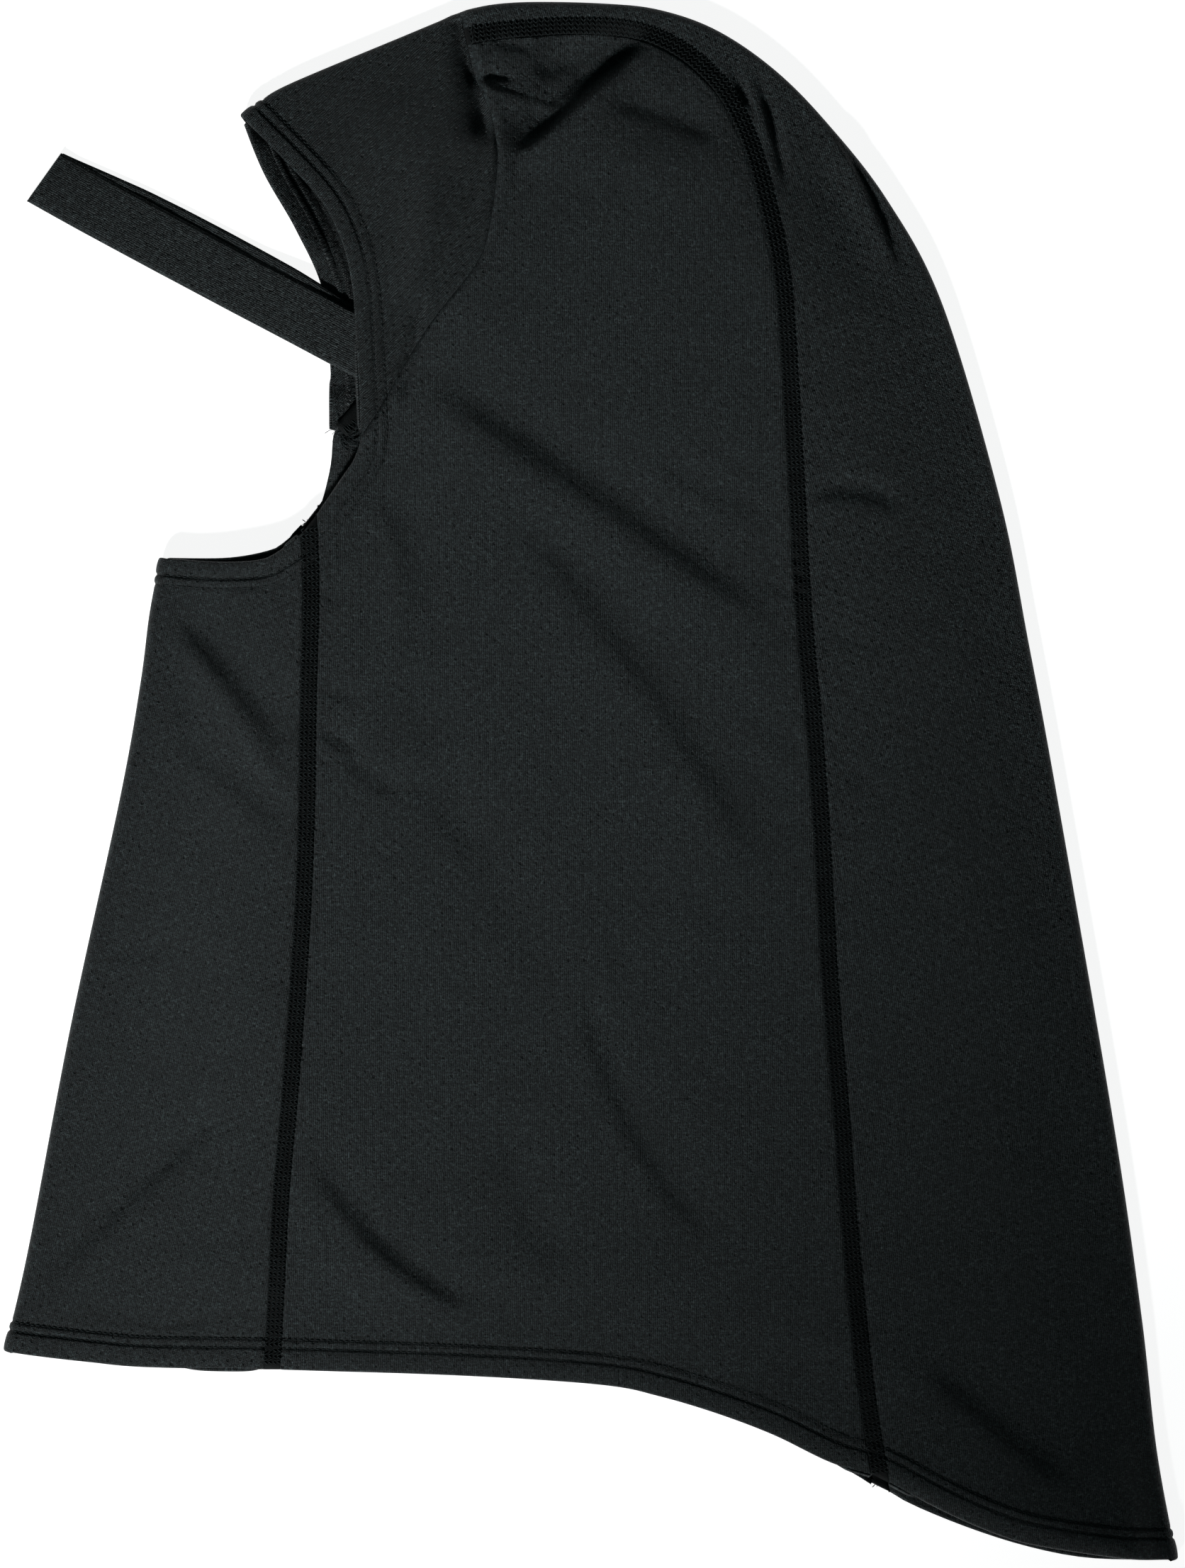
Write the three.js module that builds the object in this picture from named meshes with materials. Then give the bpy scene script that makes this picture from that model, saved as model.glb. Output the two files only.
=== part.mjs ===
// A sports hijab lying flat on its right side: a pull-on knit hood of five cloth panels, joined by flat
// seams, with an open face, an open neck and a soft head strap that hangs out of the face opening.
// Millimetres, +Z up. The hood lies in the XY plane with its crown towards +Y and its face towards -X.
// The left half lies on top, the right half is flat on the surface at z = 0, and the cloth turns from one to
// the other round the brow, the back and the front of the neck.
import * as THREE from "three";

// Driving dimensions
const CLOTH = 1.0; // thickness of one wall of knit
const HEM_CLOTH = 1.5; // thickness of a turned and stitched hem
const HEM_DEPTH = 9; // width of the turned hem
const FOLD_RADIUS = 2.4; // outside radius of the cloth where it turns over
const LOFT = 12; // height of the upper cloth in the middle of the hood
const EDGE_LOFT = 8.6; // height of the upper cloth along an open edge
const FOLD_REACH = 50; // how far in from a fold the cloth goes on rising
const EDGE_REACH = 40; // how far in from an open edge the cloth goes on rising
const SEAM_WIDTH = 5.5; // width of a flat seam
const SEAM_CLOTH = 1.4; // thickness of a flat seam, where two edges lap
const SEAM_PROUD = 0.2; // how far an upper flat seam stands above the cloth
const GAP = 0.3; // running gap between neighbouring pieces
const ALLOWANCE_WIDTH = 4; // raw edge left inside the brow seam
const ALLOWANCE_GAP = 0.6; // gap between that raw edge and the cloth
const STRAP_WIDTH = 19;
const STRAP_CLOTH = 1.0;
const STRAP_SLACK = 0.4; // air between the two layers of the strap

// Steps that each line is divided into
const STEPS = { crown: 10, back: 38, brow: 13, browTop: 1, cheek: 4, chin: 20, browFold: 9, turn: 4 };
const COLUMNS = { backUpper: 5, backLower: 4, chinUpper: 5, chinLower: 3 };
const EDGE_STEPS = 12; // steps along an open edge where only its distance is wanted

// Lines of the pattern as they lie, each a short list of x, y. Upper lines belong to the left half on top, and
// lower lines to the right half beneath it, which lies a little further out at the face and at the tail.
const LINES = {
  browFold: [[-113.5, 215.5], [-107.5, 220], [-97.5, 226], [-60.5, 241.5], [-42.5, 249]],
  crownFold: [
    [-41.5, 249.5], [-33, 251.5], [-19, 252.5], [4, 252], [22, 250], [40.5, 243.5], [59, 231], [76, 214],
  ],
  tailFold: [
    [76, 214], [96, 188.5], [114, 154.5], [132.5, 92], [142, 44.5], [151, -4], [169.5, -111], [178.5, -173],
    [183.5, -217], [190, -252],
  ],
  frontFold: [
    [-139.5, 72.5], [-143, 54.5], [-146, 31.5], [-152.5, -5], [-168.5, -79], [-182.5, -152.5], [-190, -184.5],
  ],
  browSeam: [
    [-42.5, 249], [-36.5, 229], [-31, 208], [-30, 197], [-33.5, 174], [-38.5, 164], [-54.5, 144.5], [-68, 121],
    [-73.5, 112.5],
  ],
  browSeamLower: [
    [-42.5, 249], [-36.5, 229], [-31, 208], [-30, 197], [-34, 174], [-39.5, 164], [-58, 144], [-76, 121],
    [-83, 113.5],
  ],
  browEdge: [[-74.5, 112.5], [-76, 145.5], [-77.5, 162.5], [-81.5, 177], [-90, 191], [-113.5, 215.5]],
  browEdgeLower: [[-84.2, 114], [-84.5, 134], [-87, 159], [-95.5, 178.5], [-106, 197], [-113.5, 215.5]],
  cheekEdge: [[-74, 111], [-76.5, 104], [-80.5, 98], [-88, 87]],
  cheekEdgeLower: [[-83.5, 112], [-84.5, 101.5], [-87, 91.5], [-88.5, 89]],
  chinEdge: [[-94, 79.5], [-100.5, 74.5], [-107.5, 71.5], [-122, 71], [-139.5, 72.5]],
  chinEdgeLower: [[-94.5, 82], [-99, 78], [-104, 75], [-118, 72.5], [-139.5, 72.5]],
  crownSeam: [
    [-40, 242], [-29, 244.3], [-11, 245.4], [5, 245.5], [15, 244], [25, 241], [34.5, 235.5], [43, 227.5],
    [50.5, 216.5],
  ],
  backSeam: [
    [50.5, 216.5], [55.5, 204.5], [61, 180], [64.5, 149], [67, 106], [73, 25], [78, -67], [85.5, -165],
    [93.5, -225],
  ],
  backSeamLower: [
    [50.5, 216.5], [55.5, 204.5], [61, 180], [64.5, 149], [67, 106], [73, 25], [78, -67], [85.5, -165],
    [94, -229],
  ],
  chinSeam: [[-91, 83], [-90.5, 56], [-91.5, 7], [-96.5, -90], [-101.5, -165], [-103, -190]],
  chinSeamLower: [[-90.9, 86], [-90.5, 56], [-91.5, 7], [-96.5, -90], [-101.5, -165], [-103, -190]],
  hemFront: [[-103, -190], [-143.5, -189.5], [-162, -188], [-180, -186], [-190, -184.5]],
  hemSide: [
    [-103, -190], [-42, -192], [4, -195], [22, -198.5], [40.5, -204], [59, -211], [77.5, -220], [93.5, -225],
  ],
  hemSideLower: [
    [-103, -190], [-42, -192], [4, -195], [22, -198.5], [40.5, -204], [59, -211], [77.5, -220.5], [94, -229],
  ],
  hemBack: [
    [93.5, -225], [108.5, -233], [123, -240], [137.5, -245.5], [152, -248.5], [173.5, -251.5], [190, -252],
  ],
  hemBackLower: [
    [94, -229], [105, -235], [123.5, -242.5], [142, -248.3], [160, -251.8], [178.5, -252.5], [190, -252],
  ],
};

// Creases of the upper cloth: each runs from one point to another, bowed to its left by the bow, and is high at
// its crest (or low, where the height is negative), falling away over its own width to the left and right.
const CREASES = [
  { name: "temple", from: [-58, 131], to: [63, 45], bow: 0, height: 1.8, left: 6, right: 15 },
  { name: "cheek", from: [-25, 82], to: [61, -48], bow: 5, height: 1.3, left: 8, right: 16 },
  { name: "shoulder", from: [-3, -38], to: [35, -148], bow: -5, height: 1.2, left: 8, right: 15 },
  { name: "collar", from: [-90, -121], to: [-33, -176], bow: -9, height: 1.8, left: 6, right: 8 },
  { name: "throat", from: [-133, 50], to: [-100, 10], bow: 0, height: 1.4, left: 6, right: 9 },
  { name: "collarbone", from: [-134, 12], to: [-100, -16], bow: 0, height: 0.9, left: 6, right: 9 },
  { name: "jaw", from: [-70, 96], to: [-56, 36], bow: 4, height: 0.9, left: 5, right: 9 },
  { name: "breast", from: [-180, -160], to: [-117, -102], bow: 1, height: -1.4, left: 7, right: 8 },
  { name: "crown_puff", from: [-38, 232], to: [16, 240], bow: -15, height: 2.4, left: 9, right: 5 },
  { name: "crown_hollow", from: [8, 215], to: [42, 206], bow: 0, height: -1.2, left: 9, right: 9 },
  { name: "brow_tuck", from: [-45, 246], to: [-37, 205], bow: 0, height: -1.8, left: 5, right: 6 },
  { name: "brow_ridge", from: [-62, 150], to: [-49, 190], bow: 0, height: 1.0, left: 8, right: 8 },
  { name: "nape", from: [72, 95], to: [101, 87], bow: 2, height: -1.0, left: 5, right: 5 },
  { name: "tail", from: [120, -90], to: [160, -215], bow: 4, height: 1.2, left: 24, right: 20 },
];

// Head strap: one row for each station of one layer, from its sewn end to its folded end. Columns: x and y of
// the middle of the upper layer, how far up the strap's width the lower layer is shifted, the height of the
// upper layer's underside, and the height of the lower layer's underside.
const STRAP = [
  { x: -62.0, y: 134.0, shift: 0.0, upper: 5.4, lower: 1.4 },
  { x: -70.5, y: 138.5, shift: 0.2, upper: 4.9, lower: 1.4 },
  { x: -75.5, y: 141.1, shift: 0.5, upper: 4.2, lower: 1.9 },
  { x: -84.0, y: 145.6, shift: 1.2, upper: 3.7, lower: 2.1 },
  { x: -92.0, y: 149.9, shift: 2.0, upper: 3.4, lower: 2.0 },
  { x: -101.0, y: 154.7, shift: 2.8, upper: 2.6, lower: 1.1 },
  { x: -112.0, y: 160.5, shift: 3.2, upper: 1.8, lower: 0.2 },
  { x: -124.0, y: 166.9, shift: 3.4, upper: 1.5, lower: 0.0 },
  { x: -137.0, y: 173.8, shift: 3.3, upper: 1.5, lower: 0.0 },
  { x: -150.0, y: 180.8, shift: 2.9, upper: 1.5, lower: 0.0 },
  { x: -162.0, y: 187.3, shift: 1.8, upper: 1.4, lower: 0.0 },
  { x: -171.0, y: 192.3, shift: 0.8, upper: 1.4, lower: 0.0 },
  { x: -177.5, y: 196.0, shift: 0.2, upper: 1.4, lower: 0.0 },
];
const STRAP_SKEW = 1.2; // how far the folded end leans from square
// The sewn end of each layer: how far it stops short of the first station, and how far it leans from square
const STRAP_SEWN = { upper: { short: 0, skew: 0.6 }, lower: { short: 4.5, skew: 1.8 } };

// Colours of the knit and of the seams' thread
const KNIT = { color: 0x212526, roughness: 0.85, metalness: 0 };
const THREAD = { color: 0x15191a, roughness: 0.7, metalness: 0 };

const mix = (a, b, t) => a + (b - a) * t;
const smooth = (t) => THREE.MathUtils.smoothstep(t, 0, 1);

// Stations along a line: equal steps, with a hem's depth as the first or last step where one is turned there.
function stations(line, steps, { first = 0, last = 0 } = {}) {
  const curve = new THREE.SplineCurve(line.map(([x, y]) => new THREE.Vector2(x, y)));
  const length = curve.getLength();
  const step = (length - first - last) / (steps - (first > 0) - (last > 0));
  const start = first > 0 ? first - step : 0;
  return Array.from({ length: steps + 1 }, (_, i) => {
    const along = i === 0 ? 0 : i === steps ? length : start + i * step;
    return { point: curve.getPointAt(along / length), along: curve.getTangentAt(along / length) };
  });
}

// The stations' points moved sideways, to the left of the way that the line runs. A cut is the direction of the
// edge that an end of the line meets, so that the moved line ends on that edge too.
function beside(line, distance, { startCut, endCut } = {}) {
  return line.map(({ point, along }, i) => {
    const left = new THREE.Vector2(-along.y, along.x);
    const cut = i === 0 ? startCut : i === line.length - 1 ? endCut : undefined;
    if (!cut) return point.clone().addScaledVector(left, distance);
    const edge = new THREE.Vector2(...cut).normalize();
    return point.clone().addScaledVector(edge, distance / edge.dot(left));
  });
}

const points = (line) => line.map(({ point }) => point);

// Shortest distance from a place to any of several lines
function distanceTo(lines, x, y) {
  let best = Infinity;
  for (const line of lines) {
    for (let i = 1; i < line.length; i++) {
      const a = line[i - 1];
      const b = line[i];
      const dx = b.x - a.x;
      const dy = b.y - a.y;
      const t = THREE.MathUtils.clamp(((x - a.x) * dx + (y - a.y) * dy) / (dx * dx + dy * dy), 0, 1);
      best = Math.min(best, Math.hypot(x - a.x - t * dx, y - a.y - t * dy));
    }
  }
  return best;
}

const hem = { last: HEM_DEPTH };
const hems = { first: HEM_DEPTH, last: HEM_DEPTH };
const lines = {
  browFold: stations(LINES.browFold, STEPS.browFold, { first: HEM_DEPTH }),
  crownFold: stations(LINES.crownFold, STEPS.crown),
  tailFold: stations(LINES.tailFold, STEPS.back, hem),
  frontFold: stations(LINES.frontFold, STEPS.chin, hems),
  crownSeam: stations(LINES.crownSeam, STEPS.crown),
  backSeam: {
    upper: stations(LINES.backSeam, STEPS.back, hem),
    lower: stations(LINES.backSeamLower, STEPS.back, hem),
  },
  chinSeam: {
    upper: stations(LINES.chinSeam, STEPS.chin, hems),
    lower: stations(LINES.chinSeamLower, STEPS.chin, hems),
  },
};
const openEdges = {
  upper: ["browEdge", "cheekEdge", "chinEdge", "hemFront", "hemSide", "hemBack"],
  lower: ["browEdgeLower", "cheekEdgeLower", "chinEdgeLower", "hemFront", "hemSideLower", "hemBackLower"],
};
const edgeLines = Object.fromEntries(
  Object.entries(openEdges).map(([layer, names]) => [
    layer,
    names.map((name) => points(stations(LINES[name], EDGE_STEPS))),
  ]),
);
const foldLines = [lines.browFold, lines.crownFold, lines.tailFold, lines.frontFold].map(points);

// Height that the creases add at a place
function creased(x, y) {
  let height = 0;
  for (const { from, to, bow, height: rise, left, right } of CREASES) {
    const dx = to[0] - from[0];
    const dy = to[1] - from[1];
    const length = Math.hypot(dx, dy);
    const t = ((x - from[0]) * dx + (y - from[1]) * dy) / (length * length);
    if (t <= 0 || t >= 1) continue;
    const aside = ((y - from[1]) * dx - (x - from[0]) * dy) / length - bow * 4 * t * (1 - t);
    const fade = smooth(t / 0.3) * smooth((1 - t) / 0.3);
    height += rise * fade * Math.exp(-((aside / (aside > 0 ? left : right)) ** 2));
  }
  return height;
}

// Height of the outside of the upper cloth at a place
function upperHeight(x, y) {
  const inland = smooth((distanceTo(foldLines, x, y) - FOLD_RADIUS) / FOLD_REACH);
  const open = smooth(distanceTo(edgeLines.upper, x, y) / EDGE_REACH);
  const rise = mix(EDGE_LOFT, LOFT, open) - 2 * FOLD_RADIUS + creased(x, y);
  return 2 * FOLD_RADIUS + rise * inland;
}

// Thickness of the cloth at a place
const wall = (layer, x, y) => (distanceTo(edgeLines[layer], x, y) < HEM_DEPTH + GAP ? HEM_CLOTH : CLOTH);

// A pair of points, on the outside and the inside of the cloth, above or below one place
function clothAt(layer, { x, y }) {
  const thick = wall(layer, x, y);
  if (layer === "lower") return { outer: new THREE.Vector3(x, y, 0), inner: new THREE.Vector3(x, y, thick) };
  const z = upperHeight(x, y);
  return { outer: new THREE.Vector3(x, y, z), inner: new THREE.Vector3(x, y, z - thick) };
}

// Rows of places filling the patch between two rails. The first and last rows follow the end lines, which are
// drawn to the rails' own ends.
function patch(railA, railB, firstLine, lastLine) {
  const columns = firstLine.length - 1;
  const firstEnd = [railA[0], ...firstLine.slice(1, -1), railB[0]];
  const lastEnd = [railA.at(-1), ...lastLine.slice(1, -1), railB.at(-1)];
  const bulge = (end, j) => end[j].clone().sub(end[0].clone().lerp(end[columns], j / columns));
  return railA.map((a, i) => {
    const t = i / (railA.length - 1);
    return Array.from({ length: columns + 1 }, (_, j) =>
      a
        .clone()
        .lerp(railB[i], j / columns)
        .addScaledVector(bulge(firstEnd, j), 1 - t)
        .addScaledVector(bulge(lastEnd, j), t),
    );
  });
}

// A closed solid from a grid of outer and inner points
function solid(name, grid, look) {
  const rows = grid.length;
  const columns = grid[0].length;
  const position = grid.flat().flatMap(({ outer, inner }) => [...outer, ...inner]);
  const at = (i, j, side) => 2 * (i * columns + j) + side;
  const index = [];
  const face = (a, b, c, d) => index.push(a, b, c, a, c, d);
  for (let i = 0; i < rows - 1; i++) {
    for (let j = 0; j < columns - 1; j++) {
      face(at(i, j, 0), at(i + 1, j, 0), at(i + 1, j + 1, 0), at(i, j + 1, 0));
      face(at(i, j, 1), at(i, j + 1, 1), at(i + 1, j + 1, 1), at(i + 1, j, 1));
    }
    face(at(i, 0, 0), at(i, 0, 1), at(i + 1, 0, 1), at(i + 1, 0, 0));
    face(at(i, columns - 1, 0), at(i + 1, columns - 1, 0), at(i + 1, columns - 1, 1), at(i, columns - 1, 1));
  }
  for (let j = 0; j < columns - 1; j++) {
    face(at(0, j, 0), at(0, j + 1, 0), at(0, j + 1, 1), at(0, j, 1));
    face(at(rows - 1, j, 0), at(rows - 1, j, 1), at(rows - 1, j + 1, 1), at(rows - 1, j + 1, 0));
  }
  const geometry = new THREE.BufferGeometry();
  geometry.setAttribute("position", new THREE.Float32BufferAttribute(position, 3));
  geometry.setIndex(volume(position, index) < 0 ? index.reverse() : index);
  geometry.computeVertexNormals();
  const mesh = new THREE.Mesh(geometry, new THREE.MeshStandardMaterial(look));
  mesh.name = name;
  return mesh;
}

// Six times the volume inside a closed surface, which is negative where its faces point inwards
function volume(position, index) {
  const corner = (i) => new THREE.Vector3().fromArray(position, 3 * index[i]);
  let sum = 0;
  for (let i = 0; i < index.length; i += 3) sum += corner(i).dot(corner(i + 1).cross(corner(i + 2)));
  return sum;
}

// A panel that turns over along a fold: the upper patch, the half round of the turn, then the lower patch
function foldedPanel(name, { fold, outward, upper, lower }) {
  const axis = beside(fold, -outward * FOLD_RADIUS);
  const upperPatch = patch(upper.rail, axis, upper.firstEnd, upper.lastEnd);
  const lowerPatch = patch(lower.rail, axis, lower.firstEnd, lower.lastEnd);
  const grid = fold.map(({ point }, i) => {
    const centre = axis[i];
    const out = point.clone().sub(centre).normalize();
    const thick = wall("upper", point.x, point.y);
    const onTurn = (radius, angle) => {
      const place = centre.clone().addScaledVector(out, radius * Math.sin(angle));
      return new THREE.Vector3(place.x, place.y, FOLD_RADIUS + radius * Math.cos(angle));
    };
    const turn = Array.from({ length: STEPS.turn - 1 }, (_, j) => {
      const angle = (Math.PI * (j + 1)) / STEPS.turn;
      return { outer: onTurn(FOLD_RADIUS, angle), inner: onTurn(FOLD_RADIUS - thick, angle) };
    });
    return [
      ...upperPatch[i].map((place) => clothAt("upper", place)),
      ...turn,
      ...lowerPatch[i].map((place) => clothAt("lower", place)).reverse(),
    ];
  });
  return solid(name, grid, KNIT);
}

const halfSeam = SEAM_WIDTH / 2 + GAP;
const chinCut = { startCut: [26, 33], endCut: [1, 0] };
const backCut = { endCut: [16, -8] };
const crownCut = { startCut: [-2, 9.5] };

// Both parts of the seam that runs over the crown and down the back, moved sideways
function crownAndBack(layer, distance) {
  const crown = beside(lines.crownSeam, distance, crownCut);
  return [...crown, ...beside(lines.backSeam[layer], distance, backCut).slice(1)];
}

// The brow seam from the face up to the fold, moved towards the side panel by the distance
function browSeamUp(layer, distance) {
  const line = LINES[layer === "upper" ? "browSeam" : "browSeamLower"];
  const curve = stations(line, STEPS.brow + STEPS.browTop);
  return beside(curve, distance).reverse();
}

// Equal steps along an open edge
const edge = (name, steps) => points(stations(LINES[name], steps));

function foreheadPanel() {
  const half = (layer) => {
    const face = edge(layer === "upper" ? "browEdge" : "browEdgeLower", STEPS.brow + STEPS.browTop);
    const seam = browSeamUp(layer, -GAP / 2);
    const rail = lines.browFold.map((_, i) => face[0].clone().lerp(seam[0], i / STEPS.browFold));
    return { rail, firstEnd: face, lastEnd: seam };
  };
  return foldedPanel("forehead_panel", {
    fold: lines.browFold,
    outward: 1,
    upper: half("upper"),
    lower: half("lower"),
  });
}

function backPanel() {
  const half = (layer) => {
    const columns = layer === "upper" ? COLUMNS.backUpper : COLUMNS.backLower;
    const rail = crownAndBack(layer, halfSeam);
    const straight = [rail[0], new THREE.Vector2(...LINES.crownFold[0])];
    const firstEnd = Array.from({ length: columns + 1 }, (_, j) =>
      straight[0].clone().lerp(straight[1], j / columns),
    );
    return { rail, firstEnd, lastEnd: edge(layer === "upper" ? "hemBack" : "hemBackLower", columns) };
  };
  return foldedPanel("back_panel", {
    fold: [...lines.crownFold, ...lines.tailFold.slice(1)],
    outward: 1,
    upper: half("upper"),
    lower: half("lower"),
  });
}

function chinPanel() {
  const half = (layer) => {
    const columns = layer === "upper" ? COLUMNS.chinUpper : COLUMNS.chinLower;
    return {
      rail: beside(lines.chinSeam[layer], -halfSeam, chinCut),
      firstEnd: edge(layer === "upper" ? "chinEdge" : "chinEdgeLower", columns),
      lastEnd: edge("hemFront", columns),
    };
  };
  return foldedPanel("chin_panel", {
    fold: lines.frontFold,
    outward: -1,
    upper: half("upper"),
    lower: half("lower"),
  });
}

function sidePanel(name, layer) {
  const upper = layer === "upper";
  const brow = browSeamUp(layer, GAP / 2).reverse().slice(STEPS.browTop + 1);
  const cheek = edge(upper ? "cheekEdge" : "cheekEdgeLower", STEPS.cheek).slice(0, -1);
  const chin = beside(lines.chinSeam[layer], halfSeam, chinCut);
  const crown = crownAndBack(layer, -halfSeam);
  const front = [crown[0], ...brow, ...cheek, ...chin];
  const back = crown.slice(STEPS.crown);
  const top = crown.slice(0, STEPS.crown + 1);
  const bottom = edge(upper ? "hemSide" : "hemSideLower", STEPS.crown);
  const grid = patch(front, back, top, bottom).map((row) => row.map((place) => clothAt(layer, place)));
  return solid(name, grid, KNIT);
}

// A flat seam: a narrow strip that lies between two panels
function flatSeam(name, layer, leftEdge, rightEdge) {
  const lift = ({ x, y }) => {
    const top = layer === "upper" ? upperHeight(x, y) + SEAM_PROUD : SEAM_CLOTH;
    const bottom = top - SEAM_CLOTH;
    const [outer, inner] = layer === "upper" ? [top, bottom] : [bottom, top];
    return { outer: new THREE.Vector3(x, y, outer), inner: new THREE.Vector3(x, y, inner) };
  };
  return solid(name, leftEdge.map((left, i) => [lift(left), lift(rightEdge[i])]), THREAD);
}

function crownSeam(name, layer) {
  return flatSeam(name, layer, crownAndBack(layer, SEAM_WIDTH / 2), crownAndBack(layer, -SEAM_WIDTH / 2));
}

function chinSeam(name, layer) {
  const side = (distance) => beside(lines.chinSeam[layer], distance, chinCut);
  return flatSeam(name, layer, side(SEAM_WIDTH / 2), side(-SEAM_WIDTH / 2));
}

// The raw edges of the brow seam, overlocked and turned towards the side panel on the inside of the cloth
function browSeamEdge(name, layer) {
  const near = browSeamUp(layer, GAP).slice(1, -STEPS.browTop);
  const far = browSeamUp(layer, GAP + ALLOWANCE_WIDTH).slice(1, -STEPS.browTop);
  const lift = (place) => {
    const { inner } = clothAt(layer, place);
    const away = layer === "upper" ? -1 : 1;
    const first = inner.clone().setZ(inner.z + away * ALLOWANCE_GAP);
    return { outer: first, inner: first.clone().setZ(first.z + away * CLOTH) };
  };
  return solid(name, near.map((place, i) => [lift(place), lift(far[i])]), THREAD);
}

// The head strap: a band that leaves the upper brow seam, doubles back at its far end and returns to the lower
// brow seam. Each station is a pair of points across the width, on the outside and the inside of the loop.
function headStrap(name) {
  const along = new THREE.Vector2(STRAP.at(-1).x - STRAP[0].x, STRAP.at(-1).y - STRAP[0].y).normalize();
  const across = new THREE.Vector2(-along.y, along.x);
  const length = STRAP.length - 1;
  const station = (i, layer) => {
    const { x, y, shift, upper, lower } = STRAP[i];
    const up = layer === "upper";
    const sewn = i === 0 ? STRAP_SEWN[layer] : { short: 0, skew: 0 };
    const skew = i === length ? STRAP_SKEW : sewn.skew;
    const middle = new THREE.Vector2(x, y)
      .addScaledVector(across, up ? 0 : -shift)
      .addScaledVector(along, sewn.short);
    return [-1, 1].map((side) => {
      const place = middle
        .clone()
        .addScaledVector(across, (side * STRAP_WIDTH) / 2)
        .addScaledVector(along, side * skew);
      const outside = up ? upper + STRAP_CLOTH : lower;
      const inside = up ? upper : lower + STRAP_CLOTH;
      return {
        outer: new THREE.Vector3(place.x, place.y, outside),
        inner: new THREE.Vector3(place.x, place.y, inside),
      };
    });
  };
  const radius = STRAP_CLOTH + STRAP_SLACK / 2;
  const turn = (angle) =>
    station(length, "upper").map(({ outer }) => {
      const onTurn = (r) =>
        new THREE.Vector3(
          outer.x + along.x * r * Math.sin(angle),
          outer.y + along.y * r * Math.sin(angle),
          radius + r * Math.cos(angle),
        );
      return { outer: onTurn(radius), inner: onTurn(STRAP_SLACK / 2) };
    });
  const upper = STRAP.map((_, i) => station(i, "upper"));
  const lower = STRAP.map((_, i) => station(i, "lower")).reverse();
  const round = Array.from({ length: STEPS.turn - 1 }, (_, j) => turn((Math.PI * (j + 1)) / STEPS.turn));
  return solid(name, [...upper, ...round, ...lower], KNIT);
}

const hijab = new THREE.Group();
hijab.name = "sports_hijab";
hijab.add(
  foreheadPanel(),
  backPanel(),
  chinPanel(),
  sidePanel("side_panel_left", "upper"),
  sidePanel("side_panel_right", "lower"),
  crownSeam("crown_seam_left", "upper"),
  crownSeam("crown_seam_right", "lower"),
  chinSeam("chin_seam_left", "upper"),
  chinSeam("chin_seam_right", "lower"),
  browSeamEdge("brow_seam_left", "upper"),
  browSeamEdge("brow_seam_right", "lower"),
  headStrap("head_strap"),
);

export default hijab;
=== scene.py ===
"""Looks of a sports hijab that lies flat on its right side: knit panels, flat seams, hems and head strap.

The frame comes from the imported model. Lines and creases are in millimetres, as the pattern is drawn, and the
meshes are in metres. +X is towards the back of the head, +Y towards the crown and +Z up from the floor.
"""

import math

import bpy
import numpy as np
from bpy.props import FloatProperty, FloatVectorProperty, IntProperty, PointerProperty
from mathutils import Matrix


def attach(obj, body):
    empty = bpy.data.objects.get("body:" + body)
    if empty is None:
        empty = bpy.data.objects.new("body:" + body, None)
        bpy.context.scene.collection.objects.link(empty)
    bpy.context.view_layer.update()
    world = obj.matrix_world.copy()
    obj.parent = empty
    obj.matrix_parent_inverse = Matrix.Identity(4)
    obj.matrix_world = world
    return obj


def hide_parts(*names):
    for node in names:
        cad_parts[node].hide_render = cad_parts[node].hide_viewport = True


bl_info = {
    "name": "Sports hijab",
    "version": (1, 0, 0),
    "blender": (4, 5, 0),
    "location": "3D View > Sidebar > Hood",
    "description": "Knit panels, flat seams, hem stitches and head strap of a sports hijab",
    "category": "Add Mesh",
}

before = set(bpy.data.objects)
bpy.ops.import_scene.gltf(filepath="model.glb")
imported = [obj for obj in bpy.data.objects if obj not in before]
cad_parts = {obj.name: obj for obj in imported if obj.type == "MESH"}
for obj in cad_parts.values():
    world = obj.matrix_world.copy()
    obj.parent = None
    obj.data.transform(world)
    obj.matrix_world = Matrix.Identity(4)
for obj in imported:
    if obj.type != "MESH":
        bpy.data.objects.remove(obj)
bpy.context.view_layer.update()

MM = 0.001

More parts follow.
